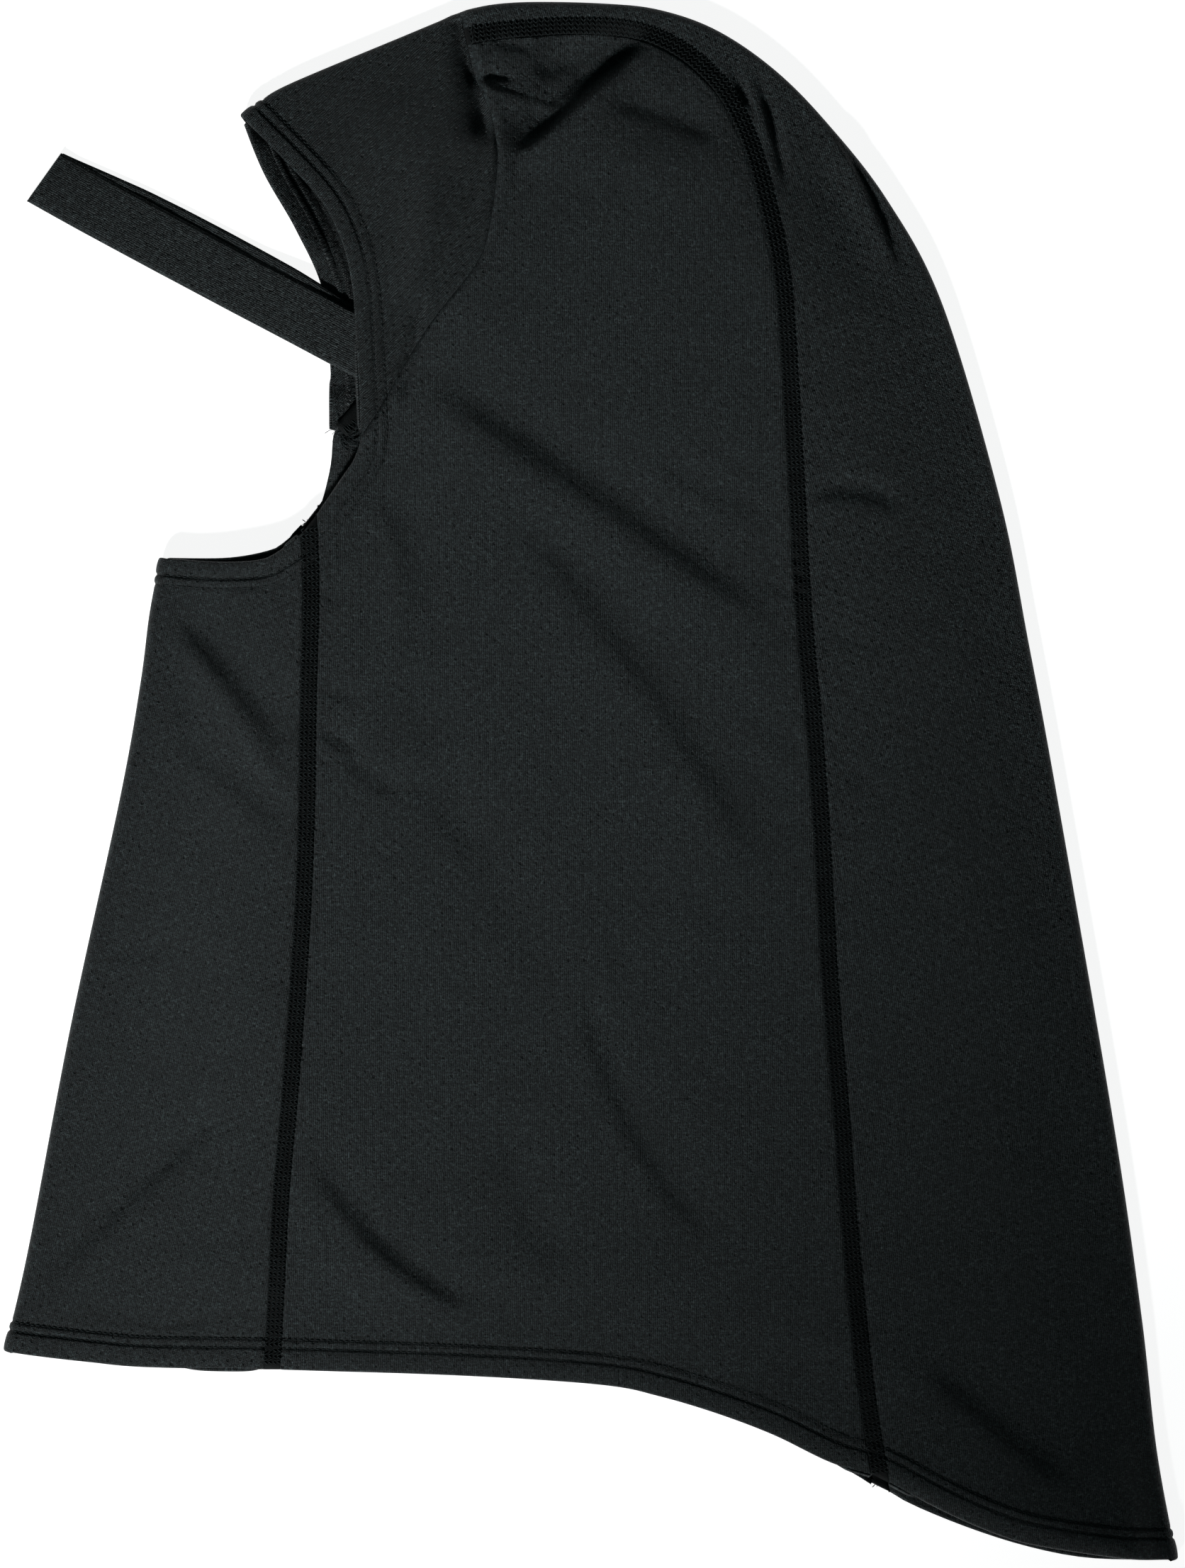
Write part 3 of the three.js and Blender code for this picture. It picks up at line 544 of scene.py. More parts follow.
class Places:
    """Places on one half of the hood, with their distances to its edges, seams and folds, in millimetres."""

    def __init__(self, x, y, layer):
        self.x, self.y, self.layer = x, y, layer
        self.face = FACE[layer].nearest(x, y)[0]
        self.hem = HEM[layer].nearest(x, y)[0]
        self.fold = np.min([line.nearest(x, y)[0] for line in OUTLINES.values()], axis=0)
        self.back_seam = BACK_SEAM[layer].nearest(x, y)
        self.chin_seam = CHIN_SEAM[layer].nearest(x, y)
        self.brow_seam = BROW_SEAM[layer].nearest(x, y)
        self.row = nearest_row(self.face, self.hem)

    def relief(self):
        """Height of hems, seams and puckers above the plain cloth."""
        sizes = bpy.context.scene.hood_sizes
        at_hem, at_face = hem_relief(self.hem, HEM_ROWS), hem_relief(self.face, FACE_ROWS)
        relief = np.where(self.hem < self.face, at_hem, at_face)
        relief -= 0.7 * np.exp(-((self.brow_seam[0] / 0.75) ** 2)) * smooth(self.fold / 5)
        relief += 0.2 * np.exp(-(((self.brow_seam[0] - 3) / 2) ** 2))
        away = smooth(self.fold / 9)
        for k, (seam, share) in enumerate(((self.back_seam, 1), (self.chin_seam, 1), (self.brow_seam, 0.4))):
            relief += away * pulled(*seam, share * sizes.puckers / MM, sizes.seed + k)
        return relief - self.sunk()

    def sunk(self):
        """How far the cloth dips beside a flat seam, so that its edges lie under the seam's stitches."""
        return BESIDE_SEAM * smooth((3.8 - np.minimum(self.back_seam[0], self.chin_seam[0])) / 1.2)

    def lifted(self):
        """Height of the lower half's underside above the floor: room for its stitches, the rim at the brow
        and the crumpled edge at the cheek."""
        stitched = np.maximum(smooth((13 - self.hem) / 3), smooth((12 - self.face) / 3))
        for distance, _ in (self.back_seam, self.chin_seam):
            stitched = np.maximum(stitched, smooth((6.5 - distance) / 3))
        clear_of_strap = smooth((self.y - 164) / 12) * smooth((214 - self.y) / 10)
        rim = FAR_RIM * clear_of_strap * np.exp(-((self.face / 6.5) ** 2))
        at_cheek = smooth((129 - self.y) / 5) * smooth((self.y - 90) / 10)
        crumples = 1.6 + 0.7 * np.clip(unevenness(self.x * 3.4, self.y * 3.4, 5), -1, 1)
        rim += at_cheek * crumples * np.exp(-((self.face / 8) ** 2))
        return LIFT * stitched + rim

    def height(self):
        """Height of the outside of the cloth."""
        sizes = bpy.context.scene.hood_sizes
        radius = sizes.fold_radius / MM
        if self.layer == "lower":
            worn = np.clip(self.relief(), -1.2, LIFT)
            return np.maximum(self.lifted() - worn * smooth((14 - np.minimum(self.hem, self.face)) / 3), 0)
        slope_length = 50 + 38 * smooth((-30 - self.y) / 110)
        inland = smooth((self.fold - radius) / slope_length)
        opened = smooth(np.minimum(self.face, self.hem) / 40)
        edge = sizes.edge_loft / MM
        loft = edge + (sizes.loft / MM - edge) * opened
        body = 2 * radius + (loft - 2 * radius + creased(self.x, self.y, CREASES)) * inland
        fine = creased(self.x, self.y, FINE_FOLDS, 0.22) + 0.2 * unevenness(self.x, self.y, sizes.seed)
        body += fine * smooth((self.fold - 1.5) / 13)
        body += creased(self.x, self.y, EDGE_FOLDS) * smooth(self.fold / 2.5)
        above = body + self.relief() - LOWEST
        return LOWEST + EASE * np.logaddexp(0, above / EASE)

    def thickness(self):
        """Thickness of the cloth, which is thicker at a turned hem and rounded off at its edge."""
        sizes = bpy.context.scene.hood_sizes
        edge = np.minimum(self.hem, self.face)
        rows = np.where(self.hem < self.face, HEM_ROWS[1], FACE_ROWS[1])
        plain = sizes.cloth / MM
        thick = plain + (sizes.hem_cloth / MM - plain) * smooth((rows + 1 - edge) / 1)
        thick -= 2 * rounding(edge)
        return np.maximum(thick, 0.12)


def nearest_row(face, hem):
    """Distance in from the nearest row of hem stitches, negative on its side nearer the edge."""
    gaps = np.stack([face - FACE_ROWS[0], face - FACE_ROWS[1], hem - HEM_ROWS[0], hem - HEM_ROWS[1]])
    return np.take_along_axis(gaps, np.abs(gaps).argmin(axis=0)[None], axis=0)[0]


def patch(rail_a, rail_b, first, last, share, along):
    """Places that fill the space between two rails. The end rows follow two lines from rail to rail."""

    def bulge(line, start, end):
        near, far = line.nearest(*np.transpose([start, end]), 0.5)[1]
        inner = line.at(near + (far - near) * share)
        inner[0], inner[-1] = start, end
        return inner - (start + (end - start) * share[:, None])

    s = share[None, :, None]
    t = along[:, None, None]
    places = rail_a[:, None] * (1 - s) + rail_b[:, None] * s
    length = np.linalg.norm(rail_b[-1] - rail_b[0])
    reach = min(length, BULGE_REACH)
    for line, row, away in ((first, 0, t), (last, -1, 1 - t)):
        places = places + bulge(line, rail_a[row], rail_b[row]) * smooth(1 - away * length / reach)
    return places


def grained(x, y, lean):
    """Pattern coordinates of the cloth: across and along its wales, which lean by an angle in degrees."""
    turn = np.radians(lean)
    return np.stack([x * np.cos(turn) + y * np.sin(turn), y * np.cos(turn) - x * np.sin(turn)], axis=-1)


def back_lean(x, y):
    """The back panel's wales lean with its fold, more at the top."""
    return 7 + 8 * smooth((y + 250) / 450)


LEANS = {
    "forehead_knit": lambda x, y: np.full_like(x, -45.0),
    "back_knit": back_lean,
    "chin_knit": lambda x, y: np.full_like(x, -14.0),
    "side_knit_left": lambda x, y: np.full_like(x, 0.5),
    "side_knit_right": lambda x, y: np.full_like(x, 0.5),
}


def grid_mesh(name, points, pattern, row, thick):
    """A sheet from a grid of points in millimetres, given its thickness inwards."""
    rows, columns = points.shape[:2]
    corner = np.arange(rows * columns).reshape(rows, columns)
    quads = np.stack([corner[:-1, :-1], corner[1:, :-1], corner[1:, 1:], corner[:-1, 1:]], axis=-1)
    mesh = bpy.data.meshes.new(name)
    mesh.from_pydata((points.reshape(-1, 3) * MM).tolist(), [], quads.reshape(-1, 4).tolist())
    loops = np.empty(len(mesh.loops), np.int32)
    mesh.loops.foreach_get("vertex_index", loops)
    grain = mesh.uv_layers.new(name="grain")
    grain.data.foreach_set("uv", pattern.reshape(-1, 2)[loops].astype(np.float32).ravel())
    stitch_row = mesh.attributes.new("stitch_row", "FLOAT", "POINT")
    stitch_row.data.foreach_set("value", row.astype(np.float32).ravel())
    piece = bpy.data.objects.new(name, mesh)
    bpy.context.scene.collection.objects.link(piece)
    group = piece.vertex_groups.new(name="thickness")
    most = float(thick.max())
    for k, share in enumerate((thick / most).ravel()):
        group.add([k], float(share), "REPLACE")
    wall = piece.modifiers.new("Wall", "SOLIDIFY")
    wall.thickness = most * MM
    wall.offset = -1
    wall.vertex_group = "thickness"
    return piece


def apply_modifiers(piece):
    bpy.ops.object.select_all(action="DESELECT")
    piece.select_set(True)
    bpy.context.view_layer.objects.active = piece
    for modifier in list(piece.modifiers):
        bpy.ops.object.modifier_apply(modifier=modifier.name)


def finish_piece(piece, slot, material, *nodes):
    """Gives a finished piece its material and smooth faces, joins it to the root body and hides the CAD nodes
    that it stands for. The slot is not used.
    """
    piece.data.materials.clear()
    piece.data.materials.append(material)
    piece.data.polygons.foreach_set("use_smooth", [True] * len(piece.data.polygons))
    piece.data.update()
    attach(piece, "root")
    if nodes:
        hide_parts(*nodes)
    return piece


def wall_panel(name, points, pattern, row, thick, outward):
    """A panel's closed wall, with its outside facing out and no corner of it under the floor. The grid is
    turned about unless its faces wind outward already."""
    if not outward:
        points, pattern, row, thick = (a[::-1] for a in (points, pattern, row, thick))
    piece = grid_mesh(name, points, pattern, row, thick)
    apply_modifiers(piece)
    corners = np.empty(len(piece.data.vertices) * 3, np.float32)
    piece.data.vertices.foreach_get("co", corners)
    corners[2::3] = np.maximum(corners[2::3], 0)
    piece.data.vertices.foreach_set("co", corners)
    return piece


def facing_up(points):
    """Whether the faces in the middle of a grid wind so that they face up."""
    row, column = points.shape[0] // 2, points.shape[1] // 2
    a = points[row + 1, column] - points[row, column]
    b = points[row, column + 1] - points[row, column]
    return np.cross(a, b)[2] > 0


def winds_outward(points, layer):
    """The upper half's outside looks up, and the lower half's looks down."""
    return facing_up(points) == (layer == "upper")


def flat_half(layer, name, places_xy):
    """The outside of one layer of a panel: its points, pattern, distance from a stitch row and thickness."""
    x, y = places_xy[..., 0], places_xy[..., 1]
    places = Places(x, y, layer)
    points = np.stack([x, y, places.height()], axis=-1)
    return points, grained(x, y, LEANS[name](x, y)), places.row, places.thickness()


def folded_panel(name, fold, outward, rows, halves, turn_steps=12):
    """A panel that turns over along a fold: the upper half, the half round of the turn and the lower half."""
    radius = bpy.context.scene.hood_sizes.fold_radius / MM
    along = rows / fold.length
    edge = fold.at(rows)
    axis = fold.beside(rows, -outward * radius)
    out = unit(edge - axis)
    parts = []
    for layer in LAYERS:
        half = halves[layer]
        xy = patch(half["rail"], axis, half["first"], half["last"], half["share"], along)
        parts.append(flat_half(layer, name, xy))
    angles = np.linspace(0, math.pi, turn_steps + 1)[1:-1]
    turned = Places(edge[:, 0], edge[:, 1], "upper")
    outline = turned.relief()[:, None]
    lift = Places(edge[:, 0], edge[:, 1], "lower").lifted()[:, None] * (angles / math.pi)
    reach = (radius + outline) * np.sin(angles)
    xy = axis[:, None] + out[:, None] * reach[..., None]
    z = np.maximum(radius + lift + (radius + outline) * np.cos(angles), 0)
    turn_points = np.concatenate([xy, z[..., None]], axis=-1)
    spare = out[:, None] * (radius * (angles - np.sin(angles)))[None, :, None]
    turn_pattern = grained(*np.moveaxis(xy + spare, -1, 0), LEANS[name](*np.moveaxis(xy, -1, 0)))
    steps = np.ones((1, turn_steps - 1))
    turn = (turn_points, turn_pattern, turned.row[:, None] * steps, turned.thickness()[:, None] * steps)
    upper_half, lower_half = parts
    whole = [np.concatenate([u, t, l[:, ::-1]], axis=1) for u, t, l in zip(upper_half, turn, lower_half)]
    return wall_panel(name, *whole, facing_up(upper_half[0]))


def shares(width, count, first=AT_END, last=AT_END):
    """Where a row's columns lie, from 0 to 1, for a panel of about this width."""
    return stations(width, count, first, last) / width


def half_seam():
    """Distance from a flat seam's middle to the panels' edges, which its band laps over a little."""
    return bpy.context.scene.hood_sizes.seam_width / MM / 2 - 0.25


def crown_length(layer):
    """Length of the crown and back seam up to where the back seam begins."""
    line = BACK_SEAM[layer]
    corner = np.asarray(LINES["back_seam"][0], float)
    return float(line.nearest(corner[:1], corner[1:], 1.0)[1][0])


def make_forehead_panel():
    """The panel over the brow, with the hem at the face."""
    fold = OUTLINES["brow"]
    rows = stations(fold.length, BROW_STEPS, AT_HEM, AT_SEAM)
    along = rows / fold.length
    halves = {}
    for layer, count in (("upper", 84), ("lower", 60)):
        share = shares(BROW_WIDTH, count, AT_END, AT_FOLD)
        face = Line(LINES[named("brow_edge", layer)])
        brow = BROW_SEAM[layer]
        seam = Line(brow.beside(np.linspace(brow.length, 0, 80), -0.05))
        rail = face.points[0] + (seam.points[0] - face.points[0]) * along[:, None]
        halves[layer] = {"rail": rail, "first": face, "last": seam, "share": share}
    return folded_panel("forehead_knit", fold, 1, rows, halves)


def make_back_panel():
    """The panel over the crown and down the back, with the bottom hem at the tail."""
    radius = bpy.context.scene.hood_sizes.fold_radius / MM
    fold = OUTLINES["crown"]
    rows = stations(fold.length, BACK_STEPS, AT_END, AT_HEM)
    halves = {}
    for layer, count in (("upper", 32), ("lower", 16)):
        share = shares(BACK_WIDTH, count, AT_SEAM if layer == "upper" else AT_END, AT_FOLD)
        seam = BACK_SEAM[layer]
        rail = seam.beside(stations(seam.length, BACK_STEPS, AT_END, AT_HEM), half_seam(), **BACK_CUTS)
        start = fold.beside(np.array([0.0, 1.0]), -radius)[0]
        hem = Line(LINES[named("hem_back", layer)])
        halves[layer] = {"rail": rail, "first": Line([rail[0], start]), "last": hem, "share": share}
    return folded_panel("back_knit", fold, 1, rows, halves)


def make_chin_panel():
    """The panel under the chin and down the front, hemmed at both its ends."""
    fold = OUTLINES["front"]
    rows = stations(fold.length, CHIN_STEPS, AT_HEM, AT_HEM)
    halves = {}
    for layer, count in (("upper", 30), ("lower", 16)):
        share = shares(CHIN_WIDTH, count, AT_SEAM if layer == "upper" else AT_END, AT_FOLD)
        seam = CHIN_SEAM[layer]
        rail = seam.beside(stations(seam.length, CHIN_STEPS, AT_HEM, AT_HEM), -half_seam(), **CHIN_CUTS)
        top = Line(LINES[named("chin_edge", layer)])
        bottom = Line(LINES["hem_front"][::-1])
        halves[layer] = {"rail": rail, "first": top, "last": bottom, "share": share}
    return folded_panel("chin_knit", fold, -1, rows, halves)


def make_side_panel(layer):
    """The near side is the upper layer. The far side is the lower, and coarser because it is hidden."""
    fine = layer == "upper"
    name = "side_knit_left" if fine else "side_knit_right"
    half = half_seam()
    seam, brow, chin = BACK_SEAM[layer], BROW_SEAM[layer], CHIN_SEAM[layer]
    cheek = Line(LINES[named("cheek_edge", layer)])
    brow_count, cheek_count, chin_count = (108, 16, 130) if fine else (40, 10, 70)
    crown_start = seam.beside(np.array([0.0, 1.0]), -half, **BACK_CUTS)[:1]
    begin = float(brow.nearest(crown_start[:, 0], crown_start[:, 1], 1.0)[1][0])
    brow_rail = brow.beside(begin + stations(brow.length - begin, brow_count, AT_SEAM), 0.05)
    cheek_rail = cheek.at(np.linspace(0, cheek.length, cheek_count + 1)[:-1])
    chin_rail = chin.beside(stations(chin.length, chin_count, AT_END, AT_HEM), half, **CHIN_CUTS)
    front = np.vstack([brow_rail, cheek_rail, chin_rail])
    front[0] = crown_start[0]
    corner = crown_length(layer)
    crown_side = stations(SIDE_LEVEL, brow_count, AT_SEAM)
    neck_count = len(front) - len(crown_side) - len(AT_HEM) + 1
    neck_side = SIDE_LEVEL + stations(seam.length - corner - SIDE_LEVEL, neck_count, AT_END, AT_HEM)[1:]
    down = corner + np.concatenate([crown_side, neck_side])
    back = seam.beside(down, -half, last_cut=BACK_CUTS["last_cut"])
    run = np.concatenate([[0], np.cumsum(np.linalg.norm(np.diff(back, axis=0), axis=1))])
    at_brow = [*np.arange(0, 11.5, 0.6), 12.5, 14]
    share = shares(SIDE_WIDTH, 66, at_brow, AT_SEAM) if fine else shares(SIDE_WIDTH, 50)
    top = Line(seam.beside(np.linspace(0, corner, 60), -half, first_cut=BACK_CUTS["first_cut"]))
    hem = Line(LINES[named("hem_side", layer)])
    grid = flat_half(layer, name, patch(front, back, top, hem, share, run / run[-1]))
    return wall_panel(name, *grid, winds_outward(grid[0], layer))


def seam_band(layer, line, cuts):
    """The lapped cloth under a flat seam's stitches: a low band from edge to edge of the seam."""
    half = bpy.context.scene.hood_sizes.seam_width / MM / 2
    along = stations(line.length, int(line.length / 1.6))
    across = np.array([-1, -0.97, -0.93, -0.87, -0.75, -0.4, 0, 0.4, 0.75, 0.87, 0.93, 0.97, 1])
    xy = np.stack([line.beside(along, a * half, **cuts) for a in across], axis=1)
    places = Places(xy[..., 0], xy[..., 1], layer)
    crown = -0.08 - 0.6 * np.abs(across) ** 12
    base = places.height()
    z = base + places.sunk() + crown if layer == "upper" else np.maximum(base - crown * 0.6, 0.12)
    points = np.concatenate([xy, z[..., None]], axis=-1)
    thick = np.broadcast_to(1.2 - 0.6 * np.abs(across) ** 8, z.shape)
    pattern = np.stack(np.broadcast_arrays(across[None] * half, along[:, None]), axis=-1)
    # stitch_row marks the band for the thread material's painted shade between the threads
    return points, pattern, np.full(z.shape, UNDER_STITCHES), thick


def slope_up(places):
    """Direction straight out of the cloth at each place."""
    x, y, layer = places.x, places.y, places.layer
    if layer == "lower":
        return np.tile([0.0, 0.0, -1.0], (len(x), 1))
    step = 0.6

    def level(dx, dy):
        return Places(x + dx, y + dy, layer).height()

    tilt = [level(-step, 0) - level(step, 0), level(0, -step) - level(0, step), np.full(len(x), 2 * step)]
    return unit(np.stack(tilt, axis=-1))


def inside_level(places, depth=0.0):
    """Height of the inside of the cloth, or of a level this far beyond it."""
    side = -1 if places.layer == "upper" else 1
    return places.height() + side * (places.thickness() + depth)


def bare_thread(size):
    """One short length of thread, its ends drawn in: corners in millimetres about its middle, and faces.
    The faces are sorted, because Blender gives them in another order in each run."""
    bpy.ops.object.select_all(action="DESELECT")
    bpy.ops.mesh.primitive_uv_sphere_add(segments=6, ring_count=4, radius=1)
    thread = bpy.context.active_object
    thread.scale = (size[1] / 2, size[2] / 2, size[0] / 2)
    thread.rotation_euler = (0, math.pi / 2, 0)
    bpy.ops.object.transform_apply(location=False, rotation=True, scale=True)
    corners = np.array([v.co[:] for v in thread.data.vertices])
    faces = sorted(list(p.vertices) for p in thread.data.polygons)
    bpy.data.meshes.remove(thread.data)
    return corners, faces


def vee_thread(length, width, thread):
    """Two threads that cross the seam as a V, which is what one stitch of a looped row shows."""
    slant = length * 0.34
    corners, faces = bare_thread((math.hypot(width, slant) + thread, thread, thread * 0.8))
    both, all_faces = [], []
    for k, side in enumerate((-1, 1)):
        turn = math.atan2(width, side * slant)
        x = corners[:, 0] * math.cos(turn) - corners[:, 1] * math.sin(turn) + side * length * 0.25
        y = corners[:, 0] * math.sin(turn) + corners[:, 1] * math.cos(turn)
        both.append(np.column_stack([x, y, corners[:, 2]]))
        all_faces += [[i + k * len(corners) for i in f] for f in faces]
    return np.vstack(both), all_faces


def laid_out(shape, middles, headings, ups, chance, jitter=0.06):
    """Copies of one small shape, each in its place, turned along its heading and standing on the cloth."""
    corners, faces = shape
    across = unit(np.cross(ups, headings))
    ahead = np.cross(across, ups)
    wander = chance.normal(0, jitter, (len(middles), 2))
    local = corners[None] * (1 + chance.normal(0, 0.05, (len(middles), 1, 1)))
    points = (middles + ahead * wander[:, :1] + across * wander[:, 1:])[:, None]
    for k, axis in enumerate((ahead, across, ups)):
        points = points + local[..., k : k + 1] * axis[:, None]
    every = [[i + k * len(corners) for i in f] for k in range(len(middles)) for f in faces]
    return points.reshape(-1, 3), every


def on_cloth(shape, layer, line, along, offset, level, ups, chance, jitter=0.06, spread=0.0):
    """Copies of a small shape beside a line, where level gives the heights of places and ups the way out.
    Spread makes their spacing uneven."""
    uneven = along + chance.normal(0, spread, len(along)) if spread else along
    xy = line.beside(uneven, offset)
    places = Places(xy[:, 0], xy[:, 1], layer)
    headings = np.column_stack([line.heading(along), np.zeros(len(along))])
    return laid_out(shape, np.column_stack([xy, level(places)]), headings, ups(places), chance, jitter)


def stitch_mesh(name, parts):
    """One mesh from several sets of points in millimetres and faces."""
    points, faces, start = [], [], 0
    for some_points, some_faces in parts:
        points.append(some_points)
        faces += [[i + start for i in f] for f in some_faces]
        start += len(some_points)
    mesh = bpy.data.meshes.new(name)
    mesh.from_pydata((np.vstack(points) * MM).tolist(), [], faces)
    piece = bpy.data.objects.new(name, mesh)
    bpy.context.scene.collection.objects.link(piece)
    return piece


def as_one(threads, band):
    """Joins a seam's band of cloth to its threads."""
    bpy.ops.object.select_all(action="DESELECT")
    band.select_set(True)
    threads.select_set(True)
    bpy.context.view_layer.objects.active = threads
    bpy.ops.object.join()
    return threads


def flat_stitches(layer, line, chance):
    """Four looped rows along a flat seam, each stitch a V across its row."""
    pitch = bpy.context.scene.hood_sizes.seam_pitch / MM
    shape = vee_thread(pitch, 0.9, 0.4)
    along = np.arange(pitch, line.length - pitch / 2, pitch)

    def level(places):
        if layer == "lower":
            return np.maximum(places.height() - 0.22, STITCH_FLOOR)
        return places.height() + places.sunk() + 0.08

    parts = []
    for offset in SEAM_ROWS:
        parts.append(on_cloth(shape, layer, line, along, offset, level, slope_up, chance, spread=0.12))
    return parts


def make_flat_seam(name, layer, line, cuts, seed):
    """A flat seam: its lapped band and the looped rows that cover it, as one piece."""
    grid = seam_band(layer, line, cuts)
    band = wall_panel(name + "_band", *grid, winds_outward(grid[0], layer))
    return as_one(stitch_mesh(name, flat_stitches(layer, line, np.random.default_rng(seed))), band)


def row_stitches(layer, line, inset, chance):
    """One row of a hem's straight stitches, each a short bead sunk in its groove."""
    pitch = bpy.context.scene.hood_sizes.hem_pitch / MM
    shape = bare_thread((1.35, 0.62, 0.46))
    along = np.arange(2.6, line.length - 2.4, pitch)

    def level(places):
        if layer == "lower":
            return np.maximum(places.height() - 0.1, STITCH_FLOOR)
        return places.height() + 0.1

    return on_cloth(shape, layer, line, along, inset, level, slope_up, chance, 0.04)


def looper_stitches(layer, line, rows, chance):
    """The looper threads on the inside of a hem, which cross from one row to the other."""
    pitch = bpy.context.scene.hood_sizes.hem_pitch / MM
    shape = vee_thread(pitch, rows[1] - rows[0] + 0.4, 0.26)
    along = np.arange(3.0, line.length - 3.0, pitch)

    def inward(places):
        return -slope_up(places)

    return on_cloth(shape, layer, line, along, sum(rows) / 2, inside_level, inward, chance, 0.05)


def make_hem_stitches(name, layer, line, rows, seed):
    """The stitches of one hem: two rows outside, and the looper threads inside."""
    chance = np.random.default_rng(seed)
    parts = [row_stitches(layer, line, inset, chance) for inset in rows]
    parts.append(looper_stitches(layer, line, rows, chance))
    return stitch_mesh(name, parts)


def tuft(middle, chance):
    """Loose thread ends where an overlocked edge stops at the face: short curling runs of small lengths."""
    shape = bare_thread((0.8, 0.22, 0.22))
    parts = []
    for _ in range(26):
        turn = chance.uniform(0, 2 * math.pi) + np.cumsum(chance.normal(0.22, 0.25, 9))
        heading = np.column_stack([np.cos(turn), np.sin(turn), chance.normal(0, 0.25, 9)])
        start = middle + chance.normal(0, 1, 3) * (1.5, 1.2, 0.3)
        places = start + np.cumsum(unit(heading), axis=0) * 0.62
        ups = np.tile([0.0, 0.0, 1.0], (9, 1))
        parts.append(laid_out(shape, places, unit(heading), ups, chance, 0.0))
    return parts


def make_brow_edge(name, layer, seed):
    """The raw edges inside a brow seam: a narrow strip of cloth, wrapped by overlock threads."""
    chance = np.random.default_rng(seed)
    line = BROW_SEAM[layer]
    along = np.linspace(BROW_START, line.length - 1.5, 78)
    across = np.array(BROW_STRIP)
    xy = np.stack([line.beside(along, a) for a in across], axis=1)
    wave = 0.25 * np.sin(along[:, None] / 1.9 + np.sin(along[:, None] / 7)) * (across[None] / 4) ** 2
    z = inside_level(Places(xy[..., 0], xy[..., 1], layer), 0.55 + wave)
    points = np.concatenate([xy, z[..., None]], axis=-1)
    pattern = grained(xy[..., 0], xy[..., 1], 0.5)
    # stitch_row marks the strip for the thread material's painted shade under the overlock
    row, thick = np.full(z.shape, UNDER_STITCHES), np.full(z.shape, 0.7)
    strip = wall_panel(name + "_strip", points, pattern, row, thick, winds_outward(points, layer))

    def level(places):
        return inside_level(places, 1.3)

    def inward(places):
        return np.tile([0.0, 0.0, -1.0 if layer == "upper" else 1.0], (len(places.x), 1))

    spots = np.arange(BROW_START + 1, line.length - 2, 1.5)
    parts = [on_cloth(vee_thread(1.5, 3.6, 0.34), layer, line, spots, 2.3, level, inward, chance)]
    if layer == "lower":
        parts += tuft(np.array(TUFT_AT), chance)
    return as_one(stitch_mesh(name, parts), strip)


def make_head_strap():
    """A band that leaves the upper brow seam, doubles back at its far end and returns to the lower one."""
    sizes = bpy.context.scene.hood_sizes
    width, cloth = sizes.strap_width / MM, sizes.strap_cloth / MM
    table = np.array(STRAP)
    along = unit(table[-1, :2] - table[0, :2])
    across = np.array([-along[1], along[0]])
    run = np.linalg.norm(table[:, :2] - table[0, :2], axis=1)
    s = np.linspace(0, run[-1], 96)
    columns = [np.pad(np.interp(s, run, table[:, k]), 2, mode="edge") for k in range(5)]
    x, y, shift, high, low = [np.convolve(column, np.ones(5) / 5, "valid") for column in columns]
    middle = np.column_stack([x, y])
    waver = 0.18 * np.sin(s / 11) * smooth(s / 30) * smooth((run[-1] - s) / 20)
    end = smooth((s - run[-1] + 12) / 12)
    start = smooth((12 - s) / 12)
    v = np.linspace(-1, 1, 15)

    def layer_points(centre, z, lean, side):
        place = centre[:, None] + across * (v * width / 2)[None, :, None]
        place = place + along * (v[None] * lean[:, None])[..., None]
        level = z[:, None] - side * 0.35 * np.abs(v[None]) ** 8
        return np.concatenate([place, level[..., None]], axis=-1)

    top = layer_points(middle, high + cloth + waver, 1.2 * end + 0.6 * start, 1)
    lower_middle = middle - across * shift[:, None] + along * (4.5 * start)[:, None]
    bottom = layer_points(lower_middle, low, 1.2 * end + 1.8 * start, -1)
    radius = cloth + 0.2
    angles = np.linspace(0, math.pi, 9)[1:-1]
    last = top[-1]
    turn_xy = last[None, :, :2] + (along * (radius * np.sin(angles))[:, None])[:, None]
    turn_z = radius + (radius + (last[None, :, 2] - radius * 2) * 0.5) * np.cos(angles)[:, None]
    turn = np.concatenate([turn_xy, turn_z[..., None]], axis=-1)
    points = np.concatenate([top, turn, bottom[::-1]])
    steps = np.linalg.norm(np.diff(points[:, len(v) // 2], axis=0), axis=1)
    distance = np.concatenate([[0], np.cumsum(steps)])
    pattern = np.stack(np.broadcast_arrays(v[None] * width / 2, distance[:, None]), axis=-1)
    thick = np.broadcast_to(cloth - 0.45 * np.abs(v) ** 10, points.shape[:2])
    row = np.full(thick.shape, UNDER_STITCHES)
    return wall_panel("strap_band", points, pattern, row, thick, facing_up(top))


